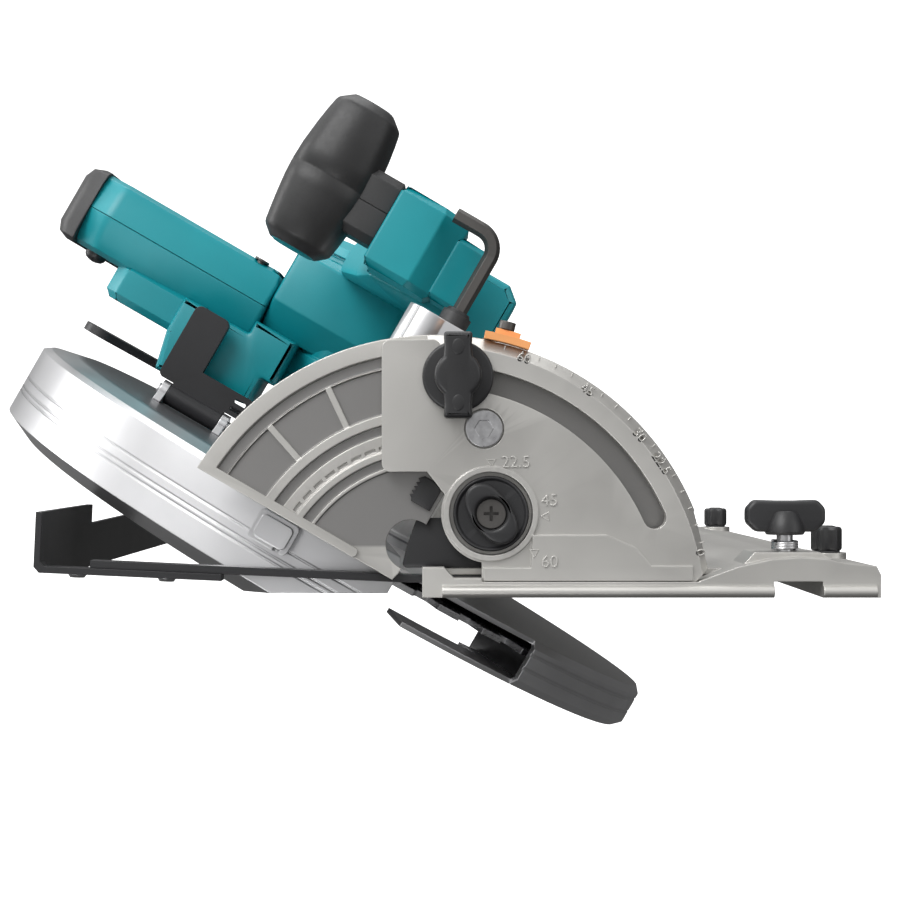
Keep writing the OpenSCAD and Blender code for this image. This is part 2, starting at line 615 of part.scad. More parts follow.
module gear_cover() color([0.66, 0.66, 0.67]) tilt() difference() {
  union() {
    slab_x(36, 44) gearcase_2d(0);
    rod_x(41, 44, motor_y, motor_z, motor_r);
  }
  rod_x(35, 42, blade_y, spindle_z, 13);
  rod_x(35, 42, mid_y, mid_z, 8);
  rod_x(35, 50, motor_y, motor_z, 6);
  rod_x(39, 50, motor_y, motor_z, 11);
}
module motor_housing() color([0.02, 0.52, 0.56]) tilt() difference() {
  union() {
    rod_x(44, 104, motor_y, motor_z, motor_r);
    block([50, 148, 96], [88, 206, 118]);
    slab_x(60, 98) polygon([[140, 60], [135, 66], [135, 100], [146, 117], [160, 117], [160, 60]]);
  }
  rod_x(43, 105, motor_y, motor_z, 40.5);
  for (i = [0:7]) translate([0, motor_y, motor_z]) rotate([-62 + i * 9, 0, 0])
    block([86, 39, -1.3], [98, 47, 1.3]);
}
module motor_end_cover() color([0.02, 0.48, 0.52]) tilt() difference() {
  union() {
    rod_x(104, 108, motor_y, motor_z, motor_r);
    rod_x(108 - eps, 112, motor_y, motor_z, motor_r, motor_r - 6);
  }
  rod_x(103, 109, motor_y, motor_z, 40.5);
  for (i = [0:11]) translate([0, motor_y, motor_z]) rotate([i * 30, 0, 0])
    block([105, 20, -1.8], [115, 33, 1.8]);
  for (a = [35, 145, 215, 325])
    rod_x(105, 115, motor_y + polar(35.2, a)[0], motor_z + polar(35.2, a)[1], 1.5);
  rod_x(103, 110, motor_y, motor_z, 6);
}
module controller_cover() color([0.02, 0.52, 0.56]) tilt() slab_y(88, 127) difference() {
  polygon([[96, 24], [118, 24], [124, 30], [124, 50], [118, 58], [94, 58], [90, 52], [90, 30]]);
  polygon([[97, 27], [117, 27], [121, 31], [121, 49], [117, 55], [96, 55], [93, 51], [93, 31]]);
}
module controller_board() color([0.1, 0.35, 0.2]) tilt() {
  block([94, 92, 38], [120, 126, 39.6]);
  for (y = [98, 108, 118]) block([100, y, 39.6 - eps], [112, y + 6, 46]);
}
module housing_screws() color([0.2, 0.2, 0.21]) tilt() {
  for (p = [[232, 111], [146, 130], [284, 130]]) translate([handle_x1, p[0], p[1]]) rotate([0, 90, 0])
    cap_screw(1.9, 14, 3.4, 0.9);
  for (a = [35, 145, 215, 325]) translate([112, motor_y + polar(35.2, a)[0], motor_z + polar(35.2, a)[1]])
    rotate([0, 90, 0]) cap_screw(1.5, 3, 2.2, 0.9);
}

// ---- handle ----
module handle_2d() {
  difference() {
    polygon([[140, 118], [136, 196], [145, 213], [160, 218], [246, 204], [288, 186], [306, 154], [310, 98],
      [225, 98], [225, 118]]);
    polygon([[170, 132], [163, 168], [166, 184], [176, 191], [240, 178], [262, 168], [272, 150], [274, 124],
      [236, 120], [180, 122]]);
  }
}
// rubber part of the handle: everything above this line
module rubber_2d() {
  intersection() {
    handle_2d();
    polygon([[120, 205], [150, 206], [178, 204], [250, 189], [262, 186], [296, 160], [330, 160], [330, 230],
      [120, 230]]);
  }
}
module handle_shell(x0, x1) {
  difference() {
    slab_x(x0, x1) difference() {
      handle_2d();
      rubber_2d();
    }
    // room for the switch and the trigger, and the well of the battery terminal
    block([58, 182, 176], [80, 222, 203]);
    block([54, 236, 97], [96, 300, 104]);
    rod_x(49, 60, 164, 198, 5.3);
    for (p = [[232, 111], [146, 130], [284, 130]]) rod_x(60, 90, p[0], p[1], 1.9);
  }
}
module handle_shell_left() color([0.02, 0.55, 0.59]) tilt() {
  handle_shell(handle_x0, seam_x);
  // raised block on the blade side
  slab_x(38, handle_x0 + eps) polygon([[143, 146], [143, 178], [150, 184], [162, 184], [164, 150], [158, 143]]);
  // root beside the guard
  slab_y(136.5, 178) polygon([[27, 104], [24.5, 125], [20.8, 146], [38, 150], [handle_x0 + eps, 150],
    [handle_x0 + eps, 118.3], [40.7, 118.3], [40.7, 104]]);
}
module handle_shell_right() color([0.02, 0.55, 0.59]) tilt() handle_shell(seam_x, handle_x1);
module handle_rubber() color([0.16, 0.16, 0.17]) tilt() slab_x(handle_x0 - 0.8, handle_x1 + 0.8) rubber_2d();
module switch_body() color([0.15, 0.15, 0.16]) tilt() block([60, 186, 189.2], [78, 216, 195]);
module trigger() color([0.12, 0.12, 0.13]) tilt() slab_x(60.5, 77.5)
  polygon([[184, 184.5], [214, 181.5], [212, 171], [204, 168.5], [194, 171], [186, 177]]);
module lock_off_button() color([0.12, 0.12, 0.13]) tilt() rod_x(47.5, 55, 164, 198, 5);
module battery_terminal() color([0.2, 0.2, 0.2]) tilt() {
  block([60, 240, 100], [82, 270, 104]);
  for (x = [64, 78]) block([x, 242, 97], [x + 1.2, 262, 100 + eps]);
}
module battery_pack() color([0.13, 0.13, 0.14]) tilt() difference() {
  union() {
    slab_y(228, 312) pad([42, 40], [104, 95], 6);
    block([54, 232, 95 - eps], [94, 308, 97.6]);
  }
  for (x = [63, 77]) block([x, 225, 90], [x + 3.2, 263, 99]);
  block([60, 303, 84], [84, 314, 92]);
}
module battery_button() color([0.7, 0.12, 0.1]) tilt() block([60.4, 304, 84.4], [83.6, 315, 91.6]);

// ---- front grip ----
module front_arm() color([0.02, 0.55, 0.59]) tilt() difference() {
  union() {
    slab_y(25, 58) polygon([[97.5, 44], [103, 38.6], [125, 38.6], [131, 44], [131, 82], [104, 82], [97.5, 76]]);
    slab_x(98, 112) polygon([[57, 46], [57, 80], [126, 96], [150, 98], [150, 60], [100, 60]]);
  }
  rod_x(60, 104 + eps, motor_y, motor_z, motor_r);
  rod_x(80, 130, motor_y, motor_z, motor_r + 0.02);
  block([90, 88, 20], [126, 128, 58.2]);
}
module front_grip_core() color([0.02, 0.55, 0.59]) tilt() {
  rod_x(grip_x - grip_l / 2 - 0.6, grip_x + grip_l / 2 - 4, grip_y, grip_z, 10);
  slab_y(30, 50) polygon([[106, 82], [130.6, 82], [129, 99], [107.5, 99]]);
}
module front_grip_rubber() color([0.15, 0.15, 0.16]) tilt() difference() {
  union() {
    translate([grip_x - grip_l / 2, grip_y, grip_z]) rotate([0, 90, 0]) rotate_extrude()
      polygon([[0, 0], [11.5, 0], [14, 3], [15, 6], [16.5, 18], [grip_d / 2, 31], [16.5, 44], [15, 55], [13, 59.5],
        [9, grip_l], [0, grip_l]]);
    slab_y(28.4, 51.6) polygon([[105, 82], [131, 82], [131, 95], [105, 95]]);
  }
  rod_x(grip_x - grip_l / 2 - 1, grip_x + grip_l / 2 - 4, grip_y, grip_z, 10);
  slab_y(30, 50) polygon([[106, 81], [130.6, 81], [130.6, 82], [129, 99], [107.5, 99], [106, 82]]);
}
module key_grommet() color([0.08, 0.08, 0.08]) tilt() difference() {
  union() {
    rod_x(93, 98, 19, 40.5, 5.7);
    rod_x(98 - eps, 99.4, 19, 40.5, 5, 4.2);
  }
  rod_x(92, 101, 19, 40.5, 3.1);
}
// L-shaped key: a hexagonal bar with a quarter-circle bend
module hex_key() color([0.25, 0.24, 0.24]) tilt() {
  translate([71, 19, 40.5]) rotate([0, 90, 0]) cylinder(h = 50.5, r = 2.887, $fn = 6);
  translate([121.5 - eps, 19, 48.5]) rotate([-90, 0, 0]) rotate_extrude(angle = 90)
    translate([8, 0]) circle(2.887, $fn = 6);
  translate([129.5, 19, 48.5 - eps]) cylinder(h = 11, r = 2.887, $fn = 6);
}

// ---- hook, locks ----
module hook_bracket() color([0.68, 0.68, 0.69]) tilt() {
  for (z = [105.6, 134.4]) translate([0, 0, z]) linear_extrude(3.4) difference() {
    union() {
      polygon([[10, hook_y - 8], [hook_x, hook_y - 4], [hook_x, hook_y + 4], [10, hook_y + 8]]);
      translate([hook_x, hook_y]) circle(4.6);
    }
    translate([hook_x, hook_y]) circle(2.45);
  }
  translate([hook_x, hook_y, 104]) cylinder(h = 35, r = 2.45);
}
// L-shaped hanging hook on an upright pin
module hanging_hook() color([0.16, 0.16, 0.17]) tilt() difference() {
  union() {
    translate([hook_x, hook_y, 109.3]) cylinder(h = 24.8, r = 4.6);
    slab_y(hook_y - 2.2, hook_y + 2.2) {
      pad([hook_x, 109.3], [30, 134.1], 0.5);
      pad([20, 100], [30, 141.8], 2.5);
      pad([20, 125.5], [54.5, 141.8], 3);
    }
  }
  translate([hook_x, hook_y, 105]) cylinder(h = 40, r = 2.5);
  for (x = [22, 25.6]) slab_y(120, 135) pad([x, 102.5], [x + 1.8, 108], 0.8);
}
module shaft_lock_button() color([0.1, 0.1, 0.1]) tilt() {
  rod_y(116, 122, 20, 60, 5.5);
  rod_y(122 - eps, 138, 20, 60, 3.4);
}
module depth_lock_lever() color([0.12, 0.12, 0.13]) tilt() {
  rod_x(10.5, 30, pivot_y + guide_r, pivot_z, 3);
  rod_x(22.4, 33, pivot_y + guide_r, pivot_z, 8);
  slab_x(26, 32) polygon([[pivot_y + guide_r - 5, 46], [pivot_y + guide_r + 5, 46],
    [pivot_y + guide_r + 12, 88], [pivot_y + guide_r + 4, 90]]);
}

base_plate();
front_angle_plate();
rear_angle_plate();
angle_plate_screws();
bevel_stop_knob();
stop_knob_screw();
front_rail_adjuster();
rear_rail_adjuster();
fence_wing_bolt();
fence_spring();
fence_rule();
fence_plate();
fence_rivets();
front_sector();
rear_sector();
depth_pivot_pin();
depth_guide();
clamp_studs();
bevel_pointer();
pointer_screw();
front_clamp_knob();
rear_clamp_lever();
upper_guard();
guard_bracket();
gear_housing();
gear_cover();
motor_housing();
motor_end_cover();
controller_cover();
housing_screws();
handle_shell_left();
handle_shell_right();
handle_rubber();
front_arm();
front_grip_core();
front_grip_rubber();
key_grommet();
stator();
bearings();
controller_board();
switch_body();
battery_terminal();
hook_bracket();
hanging_hook();
spindle();
spindle_gear();
blade_flanges();
blade();
blade_bolt();
intermediate_gear();
motor_rotor();
cooling_fan();
lower_guard();
trigger();
lock_off_button();
shaft_lock_button();
depth_lock_lever();
battery_pack();
battery_button();
hex_key();
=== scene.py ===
"""Looks of the circular saw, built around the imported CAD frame."""

import json
import math

import bmesh
import bpy
from mathutils import Matrix, Vector


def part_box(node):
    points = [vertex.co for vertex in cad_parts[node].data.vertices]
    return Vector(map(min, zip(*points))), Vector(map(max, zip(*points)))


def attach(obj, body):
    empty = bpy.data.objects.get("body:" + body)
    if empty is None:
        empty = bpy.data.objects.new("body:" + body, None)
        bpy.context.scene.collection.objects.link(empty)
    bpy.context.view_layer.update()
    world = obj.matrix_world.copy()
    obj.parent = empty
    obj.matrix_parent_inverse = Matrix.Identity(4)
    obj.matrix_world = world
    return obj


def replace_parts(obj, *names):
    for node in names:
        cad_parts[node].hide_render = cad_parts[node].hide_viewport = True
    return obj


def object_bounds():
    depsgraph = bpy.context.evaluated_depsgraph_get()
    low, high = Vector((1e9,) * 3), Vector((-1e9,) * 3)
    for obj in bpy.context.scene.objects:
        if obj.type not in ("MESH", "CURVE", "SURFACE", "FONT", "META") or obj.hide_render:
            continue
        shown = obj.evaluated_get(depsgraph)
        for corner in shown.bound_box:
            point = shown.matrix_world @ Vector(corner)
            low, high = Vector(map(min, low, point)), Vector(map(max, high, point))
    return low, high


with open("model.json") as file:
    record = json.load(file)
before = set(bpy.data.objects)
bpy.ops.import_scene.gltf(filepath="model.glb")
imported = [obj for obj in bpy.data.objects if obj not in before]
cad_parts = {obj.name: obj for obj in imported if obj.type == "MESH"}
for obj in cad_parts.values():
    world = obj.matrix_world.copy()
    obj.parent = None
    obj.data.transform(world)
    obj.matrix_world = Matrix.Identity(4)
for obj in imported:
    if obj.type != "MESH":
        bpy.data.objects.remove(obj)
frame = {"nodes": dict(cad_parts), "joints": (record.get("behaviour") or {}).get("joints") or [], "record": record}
cad_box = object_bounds()
NODES = frame["nodes"]
JOINTS = {j["name"]: j for j in frame["joints"]}

MM = 0.001
BEVEL_AXIS = Vector(JOINTS["bevel_tilt"]["pos_m"])
STORED = -math.radians(JOINTS["bevel_tilt"]["range_deg"][1])
# maps the upright head, in metres, to where it is stored
TILT = Matrix.Translation(BEVEL_AXIS) @ Matrix.Rotation(STORED, 4,
                                                        "Y") @ Matrix.Translation(-BEVEL_AXIS)


# ---------------------------------------------------------------- materials
def new_material(name, color, metallic=0.0, roughness=0.5):
    """A material with its node tree and its Principled shader."""
    mat = bpy.data.materials.new(name)
    mat.use_nodes = True
    nodes, links = mat.node_tree.nodes, mat.node_tree.links
    shader = nodes["Principled BSDF"]
    shader.inputs["Base Color"].default_value = (*color, 1.0)
    shader.inputs["Metallic"].default_value = metallic
    shader.inputs["Roughness"].default_value = roughness
    return mat, nodes, links, shader


def noise(nodes, links, scale, detail=3.0, stretch=(1, 1, 1)):
    """Noise over the piece's own coordinates, in metres."""
    coord = nodes.new("ShaderNodeTexCoord")
    mapping = nodes.new("ShaderNodeMapping")
    mapping.inputs["Scale"].default_value = stretch
    tex = nodes.new("ShaderNodeTexNoise")
    tex.inputs["Scale"].default_value = scale
    tex.inputs["Detail"].default_value = detail
    links.new(coord.outputs["Object"], mapping.inputs["Vector"])
    links.new(mapping.outputs["Vector"], tex.inputs["Vector"])
    return tex


def ramp(nodes, links, source, low, high, a=0.3, b=0.7):
    """Colour ramp between two colours, driven by a value."""
    node = nodes.new("ShaderNodeValToRGB")
    node.color_ramp.elements[0].position = a
    node.color_ramp.elements[0].color = (*low, 1.0)
    node.color_ramp.elements[1].position = b
    node.color_ramp.elements[1].color = (*high, 1.0)
    links.new(source, node.inputs["Fac"])
    return node


def span(nodes, links, source, low, high):
    """A value spread between low and high."""
    node = nodes.new("ShaderNodeMapRange")
    node.inputs["To Min"].default_value = low
    node.inputs["To Max"].default_value = high
    links.new(source, node.inputs["Value"])
    return node


def bump(nodes, links, shader, source, strength, distance, edge=0.0):
    """Bump from a height value, over edges rounded by a small radius."""
    node = nodes.new("ShaderNodeBump")
    node.inputs["Strength"].default_value = strength
    node.inputs["Distance"].default_value = distance
    links.new(source, node.inputs["Height"])
    if edge:
        round_off = nodes.new("ShaderNodeBevel")
        round_off.samples = 6
        round_off.inputs["Radius"].default_value = edge
        links.new(round_off.outputs["Normal"], node.inputs["Normal"])
    links.new(node.outputs["Normal"], shader.inputs["Normal"])


def edge_wear(nodes, links, base, worn, amount=0.6):
    """Mixes a worn colour over a base colour along convex edges."""
    geometry = nodes.new("ShaderNodeNewGeometry")
    mask = nodes.new("ShaderNodeMapRange")
    mask.inputs["From Min"].default_value = 0.52
    mask.inputs["From Max"].default_value = 0.62
    mask.inputs["To Max"].default_value = amount
    links.new(geometry.outputs["Pointiness"], mask.inputs["Value"])
    mix = nodes.new("ShaderNodeMixRGB")
    mix.inputs["Color2"].default_value = (*worn, 1.0)
    links.new(mask.outputs["Result"], mix.inputs["Fac"])
    links.new(base, mix.inputs["Color1"])
    return mix


def paint_recess_shade(nodes, links, base, shade, walls):
    """Paints shade over a face: a wall is a direction and the distances where the painted shade starts and is
    full.
    """
    coord = nodes.new("ShaderNodeTexCoord")
    mask = None
    for direction, low, high in walls:
        along = nodes.new("ShaderNodeVectorMath")
        along.operation = "DOT_PRODUCT"
        along.inputs[1].default_value = direction
        links.new(coord.outputs["Object"], along.inputs[0])
        edge = nodes.new("ShaderNodeMapRange")
        edge.inputs["From Min"].default_value = low
        edge.inputs["From Max"].default_value = high
        links.new(along.outputs["Value"], edge.inputs["Value"])
        if mask is None:
            mask = edge.outputs["Result"]
            continue
        both = nodes.new("ShaderNodeMath")
        both.operation = "MULTIPLY"
        links.new(mask, both.inputs[0])
        links.new(edge.outputs["Result"], both.inputs[1])
        mask = both.outputs["Value"]
    # mixes the painted shade colour in by the mask
    mix = nodes.new("ShaderNodeMixRGB")
    mix.inputs["Color2"].default_value = (*shade, 1.0)
    links.new(mask, mix.inputs["Fac"])
    links.new(base, mix.inputs["Color1"])
    return mix


def cast_metal(name, low, high, roughness, grain=900, edge=0.0006, metallic=0.85, depth=0.00006,
               shade=None, walls=()):
    """Satin die-cast metal: fine shot-blast grain, faint cloudy tone, and painted shade inside the walls when a
    shade colour is given.
    """
    mat, nodes, links, shader = new_material(name, high, metallic, roughness)
    cloud = noise(nodes, links, 22, 4)
    tone = ramp(nodes, links, cloud.outputs["Fac"], low, high)
    worn = edge_wear(nodes, links, tone.outputs["Color"], [min(1.0, c * 1.18) for c in high], 0.7)
    # painted shade goes over the edge wear, so worn then carries both
    if shade:
        worn = paint_recess_shade(nodes, links, worn.outputs["Color"], shade, walls)
    links.new(worn.outputs["Color"], shader.inputs["Base Color"])
    fine = noise(nodes, links, grain, 2)
    rough = span(nodes, links, cloud.outputs["Fac"], roughness - 0.06, roughness + 0.08)
    links.new(rough.outputs["Result"], shader.inputs["Roughness"])
    bump(nodes, links, shader, fine.outputs["Fac"], 0.35, depth, edge)
    return mat


def moulded(name, low, high, roughness, grain=1600, edge=0.0007, strength=0.25, spec=0.5):
    """Moulded plastic with a spark-eroded grain."""
    mat, nodes, links, shader = new_material(name, high, 0.0, roughness)
    shader.inputs["Specular IOR Level"].default_value = spec
    cloud = noise(nodes, links, 30, 3)
    tone = ramp(nodes, links, cloud.outputs["Fac"], low, high)
    worn = edge_wear(nodes, links, tone.outputs["Color"], [min(1.0, c * 1.25 + 0.02) for c in high],
                     0.45)
    links.new(worn.outputs["Color"], shader.inputs["Base Color"])
    fine = noise(nodes, links, grain, 2)
    rough = span(nodes, links, fine.outputs["Fac"], roughness - 0.07, roughness + 0.07)
    links.new(rough.outputs["Result"], shader.inputs["Roughness"])
    bump(nodes, links, shader, fine.outputs["Fac"], strength, 0.00008, edge)
    return mat


def brushed(name, low, high, roughness, stretch, edge=0.0004):
    """Turned or ground steel with fine lines across it."""
    mat, nodes, links, shader = new_material(name, high, 1.0, roughness)
    lines = noise(nodes, links, 400, 3, stretch)
    tone = ramp(nodes, links, lines.outputs["Fac"], low, high)
    links.new(tone.outputs["Color"], shader.inputs["Base Color"])
    rough = span(nodes, links, lines.outputs["Fac"], roughness - 0.08, roughness + 0.1)
    links.new(rough.outputs["Result"], shader.inputs["Roughness"])
    bump(nodes, links, shader, lines.outputs["Fac"], 0.12, 0.00005, edge)
    return mat


# floors of the sector's panels, above the foot, where shade is painted
SHADED_PANEL_WALLS = (((0, 1, 0), -0.0111, -0.0107), ((0, 1, 0), -0.0060, -0.0063), ((0, 0, 1), 0.017, 0.018))
# the guard's face on the motor side, square to the blade shaft at full bevel, where shade is painted
SHADED_GUARD_FACE_WALLS = (((0.5, 0, 0.866), 0.0036, 0.0041), ((0.5, 0, 0.866), 0.0050, 0.0046))

# magnesium: painted shade on the sector's panel floors
MATS = {"magnesium": cast_metal("magnesium", (0.47, 0.46, 0.44), (0.57, 0.56, 0.535), 0.42,
                                shade=(0.27, 0.265, 0.26), walls=SHADED_PANEL_WALLS),
        # case_silver: painted shade on the guard's face on the motor side
        "case_silver": cast_metal("case_silver", (0.56, 0.56, 0.57), (0.66, 0.66, 0.67), 0.3, 1500,
                                  0.0006, 0.9, 0.00003, shade=(0.24, 0.24, 0.25), walls=SHADED_GUARD_FACE_WALLS),
        "dark_steel": cast_metal("dark_steel", (0.012, 0.012, 0.013), (0.025, 0.025, 0.027), 0.38, 700,
                                 0.0004, 0.2), "black_oxide": cast_metal("black_oxide",
                                                                         (0.06, 0.058, 0.056),
                                                                         (0.11, 0.105, 0.10), 0.36,
                                                                         1200, 0.0003, 0.7),
        "steel": brushed("steel", (0.42, 0.42, 0.43), (0.62, 0.62, 0.63), 0.3, (1, 6, 1)),
        "blade_steel": brushed("blade_steel", (0.5, 0.5, 0.51), (0.68, 0.68, 0.69), 0.28, (1, 1, 8)),
        "teal_plastic": moulded("teal_plastic", (0.0, 0.240, 0.280), (0.002, 0.285, 0.330), 0.38),
        "black_plastic": moulded("black_plastic", (0.014, 0.014, 0.015), (0.024, 0.024, 0.026), 0.42),
        "rubber": moulded("rubber", (0.014, 0.014, 0.0145), (0.030, 0.030, 0.031), 0.46, 700, 0.001,
                          0.5, 0.5), "orange_plastic": moulded("orange_plastic", (0.80, 0.30, 0.09),
                                                               (0.88, 0.37, 0.13), 0.45, 1400, 0.0004),
        "red_plastic": moulded("red_plastic", (0.5, 0.03, 0.02), (0.62, 0.05, 0.035), 0.35, 1400,
                               0.0005), "copper": brushed("copper", (0.42, 0.19, 0.09),
                                                          (0.62, 0.30, 0.15), 0.4, (1, 1, 12)),
        "board": moulded("board", (0.01, 0.06, 0.03), (0.02, 0.10, 0.05), 0.4, 500, 0.0003), }

SLOT_OF = {row["node"]: row["material_slot"] for row in frame["record"]["subparts"]}


def dress(obj, slot):
    """Gives a piece the one material of its slot."""
    obj.data.materials.clear()
    obj.data.materials.append(MATS[slot])
    return obj


def dress_cad_nodes():
    """Every CAD node that stays is given its slot's material, smooth over small angles."""
    for name, obj in NODES.items():
        dress(obj, SLOT_OF[name])
        obj.data.shade_smooth()
        obj.data.set_sharp_from_angle(angle=math.radians(28))


# ---------------------------------------------------------------- mesh helpers
def fillet(points, radius, steps=4):
    """Rounds the corners of a closed outline; radius is one value or one per corner."""
    rounded = []
    count = len(points)
    for i in range(count):
        r = radius[i] if isinstance(radius, (list, tuple)) else radius
        here, back, ahead = (Vector(points[(i + k) % count]) for k in (0, -1, 1))
        to_back, to_ahead = back - here, ahead - here
        half = to_back.angle(to_ahead) / 2
        reach = min(r / max(math.tan(half), 1e-4), 0.48 * to_back.length, 0.48 * to_ahead.length)
        if r <= 0 or reach < 1e-3 or half > 1.5:
            rounded.append(tuple(here))
            continue
        start, end = here + to_back.normalized() * reach, here + to_ahead.normalized() * reach
        real = reach * math.tan(half)
        inward = (to_back.normalized() + to_ahead.normalized()).normalized()
        centre = here + inward * (real / math.sin(half))
        a, b = start - centre, end - centre
        turn = a.angle_signed(b)
        for k in range(steps + 1):
            c, s = math.cos(-turn * k / steps), math.sin(-turn * k / steps)
            rounded.append((centre.x + a.x * c - a.y * s, centre.y + a.x * s + a.y * c))
    return rounded


def wound(points, counter_clockwise):
    """The outline in the asked direction."""
    area = sum(a[0] * b[1] - b[0] * a[1] for a, b in zip(points, points[1:] + points[:1]))
    return points if (area > 0) == counter_clockwise else points[::-1]


def finish_mesh(name, mesh, slot, body, tilted=True, sharp=32):
    """Turns a mesh in millimetres into a dressed piece that rides on a body."""
    mesh.transform(Matrix.Scale(MM, 4))
    if tilted:
        mesh.transform(TILT)
    mesh.name = name
    mesh.shade_smooth()
    mesh.set_sharp_from_angle(angle=math.radians(sharp))
    obj = bpy.data.objects.new(name, mesh)
    bpy.context.scene.collection.objects.link(obj)
    obj.data.materials.clear()
    obj.data.materials.append(MATS[slot])
    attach(obj, body)
    return obj


def plate_mesh(outlines, lo, hi, across, edge, steps=2):
    """Mesh of a plate with rounded rims: outlines in mm, the first outside and the rest holes."""
    data = bpy.data.curves.new("outline", "CURVE")
    data.dimensions = "2D"
    data.fill_mode = "BOTH"
    data.extrude = (hi - lo) / 2 - edge
    data.bevel_depth = edge
    data.bevel_resolution = steps
    data.offset = -edge
    for i, outline in enumerate(outlines):
        points = wound([tuple(p) for p in outline], i == 0)
        spline = data.splines.new("POLY")
        spline.use_cyclic_u = True
        spline.points.add(len(points) - 1)
        for spot, (u, v) in zip(spline.points, points):
            spot.co = (u, v, 0, 1)
    carrier = bpy.data.objects.new("outline", data)
    bpy.context.scene.collection.objects.link(carrier)
    bpy.context.view_layer.update()
    mesh = bpy.data.meshes.new_from_object(carrier.evaluated_get(bpy.context.evaluated_depsgraph_get()))
    bpy.data.objects.remove(carrier)
    bpy.data.curves.remove(data)
    mid = (lo + hi) / 2
    place = {"x": Matrix(((0, 0, 1, mid), (1, 0, 0, 0), (0, 1, 0, 0), (0, 0, 0, 1))),
             "y": Matrix(((1, 0, 0, 0), (0, 0, -1, mid), (0, 1, 0, 0), (0, 0, 0, 1))),
             "z": Matrix(((1, 0, 0, 0), (0, 1, 0, 0), (0, 0, 1, mid), (0, 0, 0, 1))), }[across]
    mesh.transform(place)
    weld(mesh)
    return mesh


def weld(mesh, gap=1e-4):
    """Merges doubled points and points every face outwards."""
    bm = bmesh.new()
    bm.from_mesh(mesh)
    bmesh.ops.remove_doubles(bm, verts=bm.verts, dist=gap)
    bmesh.ops.dissolve_degenerate(bm, edges=bm.edges, dist=gap)
    bmesh.ops.recalc_face_normals(bm, faces=bm.faces)
    bm.to_mesh(mesh)
    bm.free()


def half_of(mesh, point, normal):
    """A closed copy of the part of a mesh on the side of a plane that its normal leaves."""
    part = mesh.copy()
    bm = bmesh.new()
    bm.from_mesh(part)
    whole = bm.verts[:] + bm.edges[:] + bm.faces[:]
    cut = bmesh.ops.bisect_plane(bm, geom=whole, plane_co=point, plane_no=normal, clear_outer=True)
    rim = [e for e in cut["geom_cut"] if isinstance(e, bmesh.types.BMEdge)]
    bmesh.ops.triangle_fill(bm, edges=rim, use_beauty=True)
    bmesh.ops.recalc_face_normals(bm, faces=bm.faces)
    bm.to_mesh(part)
    bm.free()
    return part


def boolean(mesh, other, operation):
    """Result of a boolean between two closed meshes."""
    objs = [bpy.data.objects.new("a", mesh), bpy.data.objects.new("b", other)]
    for o in objs:
        bpy.context.scene.collection.objects.link(o)
    mod = objs[0].modifiers.new("cut", "BOOLEAN")
    mod.operation = operation
    mod.object = objs[1]
    mod.solver = "EXACT"
    bpy.context.view_layer.update()
    made = bpy.data.meshes.new_from_object(objs[0].evaluated_get(bpy.context.evaluated_depsgraph_get()))
    for o in objs:
        bpy.data.objects.remove(o)
    weld(made)
    return made


def loft_mesh(rings, closed_ends=True):
    """Mesh through rings that all have the same number of points."""
    bm = bmesh.new()
    rows = [[bm.verts.new(p) for p in ring] for ring in rings]
    for low, high in zip(rows, rows[1:]):
        for i in range(len(low)):
            j = (i + 1) % len(low)
            bm.faces.new((low[i], low[j], high[j], high[i]))
    if closed_ends:
        bm.faces.new(rows[0][::-1])
        bm.faces.new(rows[-1])
    bmesh.ops.recalc_face_normals(bm, faces=bm.faces)
    mesh = bpy.data.meshes.new("loft")
    bm.to_mesh(mesh)
    bm.free()
    return mesh


def ring(axis, along, centre, shape, turns=64):
    """Ring of points at a place along an axis; shape gives the radius at an angle, in mm."""
    points = []
    for i in range(turns):
        a = 2 * math.pi * i / turns
        r = shape(a)
        u, v = centre[0] + r * math.cos(a), centre[1] + r * math.sin(a)
        points.append({"x": (along, u, v), "y": (u, along, v), "z": (u, v, along)}[axis])
    return points


def lathe_mesh(axis, centre, profile, turns=64, lobes=None):
    """Solid turned about an axis through centre; profile is (along, radius) pairs in mm."""
    def shape(radius):
        return lambda a: radius * (lobes(a) if lobes else 1.0)
    return loft_mesh([ring(axis, along, centre, shape(max(radius, 0.02)), turns) for along,
                      radius in profile])


def superellipse(power, wide=1.0, tall=1.0):
    """Radius factor of a rounded square."""
    def factor(a):
        c, s = abs(math.cos(a)) / wide, abs(math.sin(a)) / tall
        return (c ** power + s ** power) ** (-1 / power)
    return factor


# ---------------------------------------------------------------- places
def upright(point):
    """A stored point, in metres, as upright millimetres."""
    return TILT.inverted() @ Vector(point) / MM


def upright_box(node):
    """Corners in upright millimetres of a CAD node that tilts with the head."""
    back = TILT.inverted()
    points = [back @ v.co / MM for v in NODES[node].data.vertices]
    low = Vector([min(p[i] for p in points) for i in range(3)])
    high = Vector([max(p[i] for p in points) for i in range(3)])
    return low, high


MOTOR = upright(JOINTS["rotor_spin"]["pos_m"])
STUD = upright(JOINTS["front_clamp_turn"]["pos_m"])
PLATE_BOX = [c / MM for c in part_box("front_angle_plate")]
# the ledge along the foot of the plate stands this far in front of its face
LEDGE = 1.6
PLATE_FRONT = PLATE_BOX[0].y + LEDGE
BEVEL_HEIGHT = BEVEL_AXIS.z / MM
HANDLE_WIDTH = 33
HALF_SEAM = 0.12
# radii of the degree figures and of the outer ends of the ticks
FIGURE_R = 95.4
TICK_R = 97.9


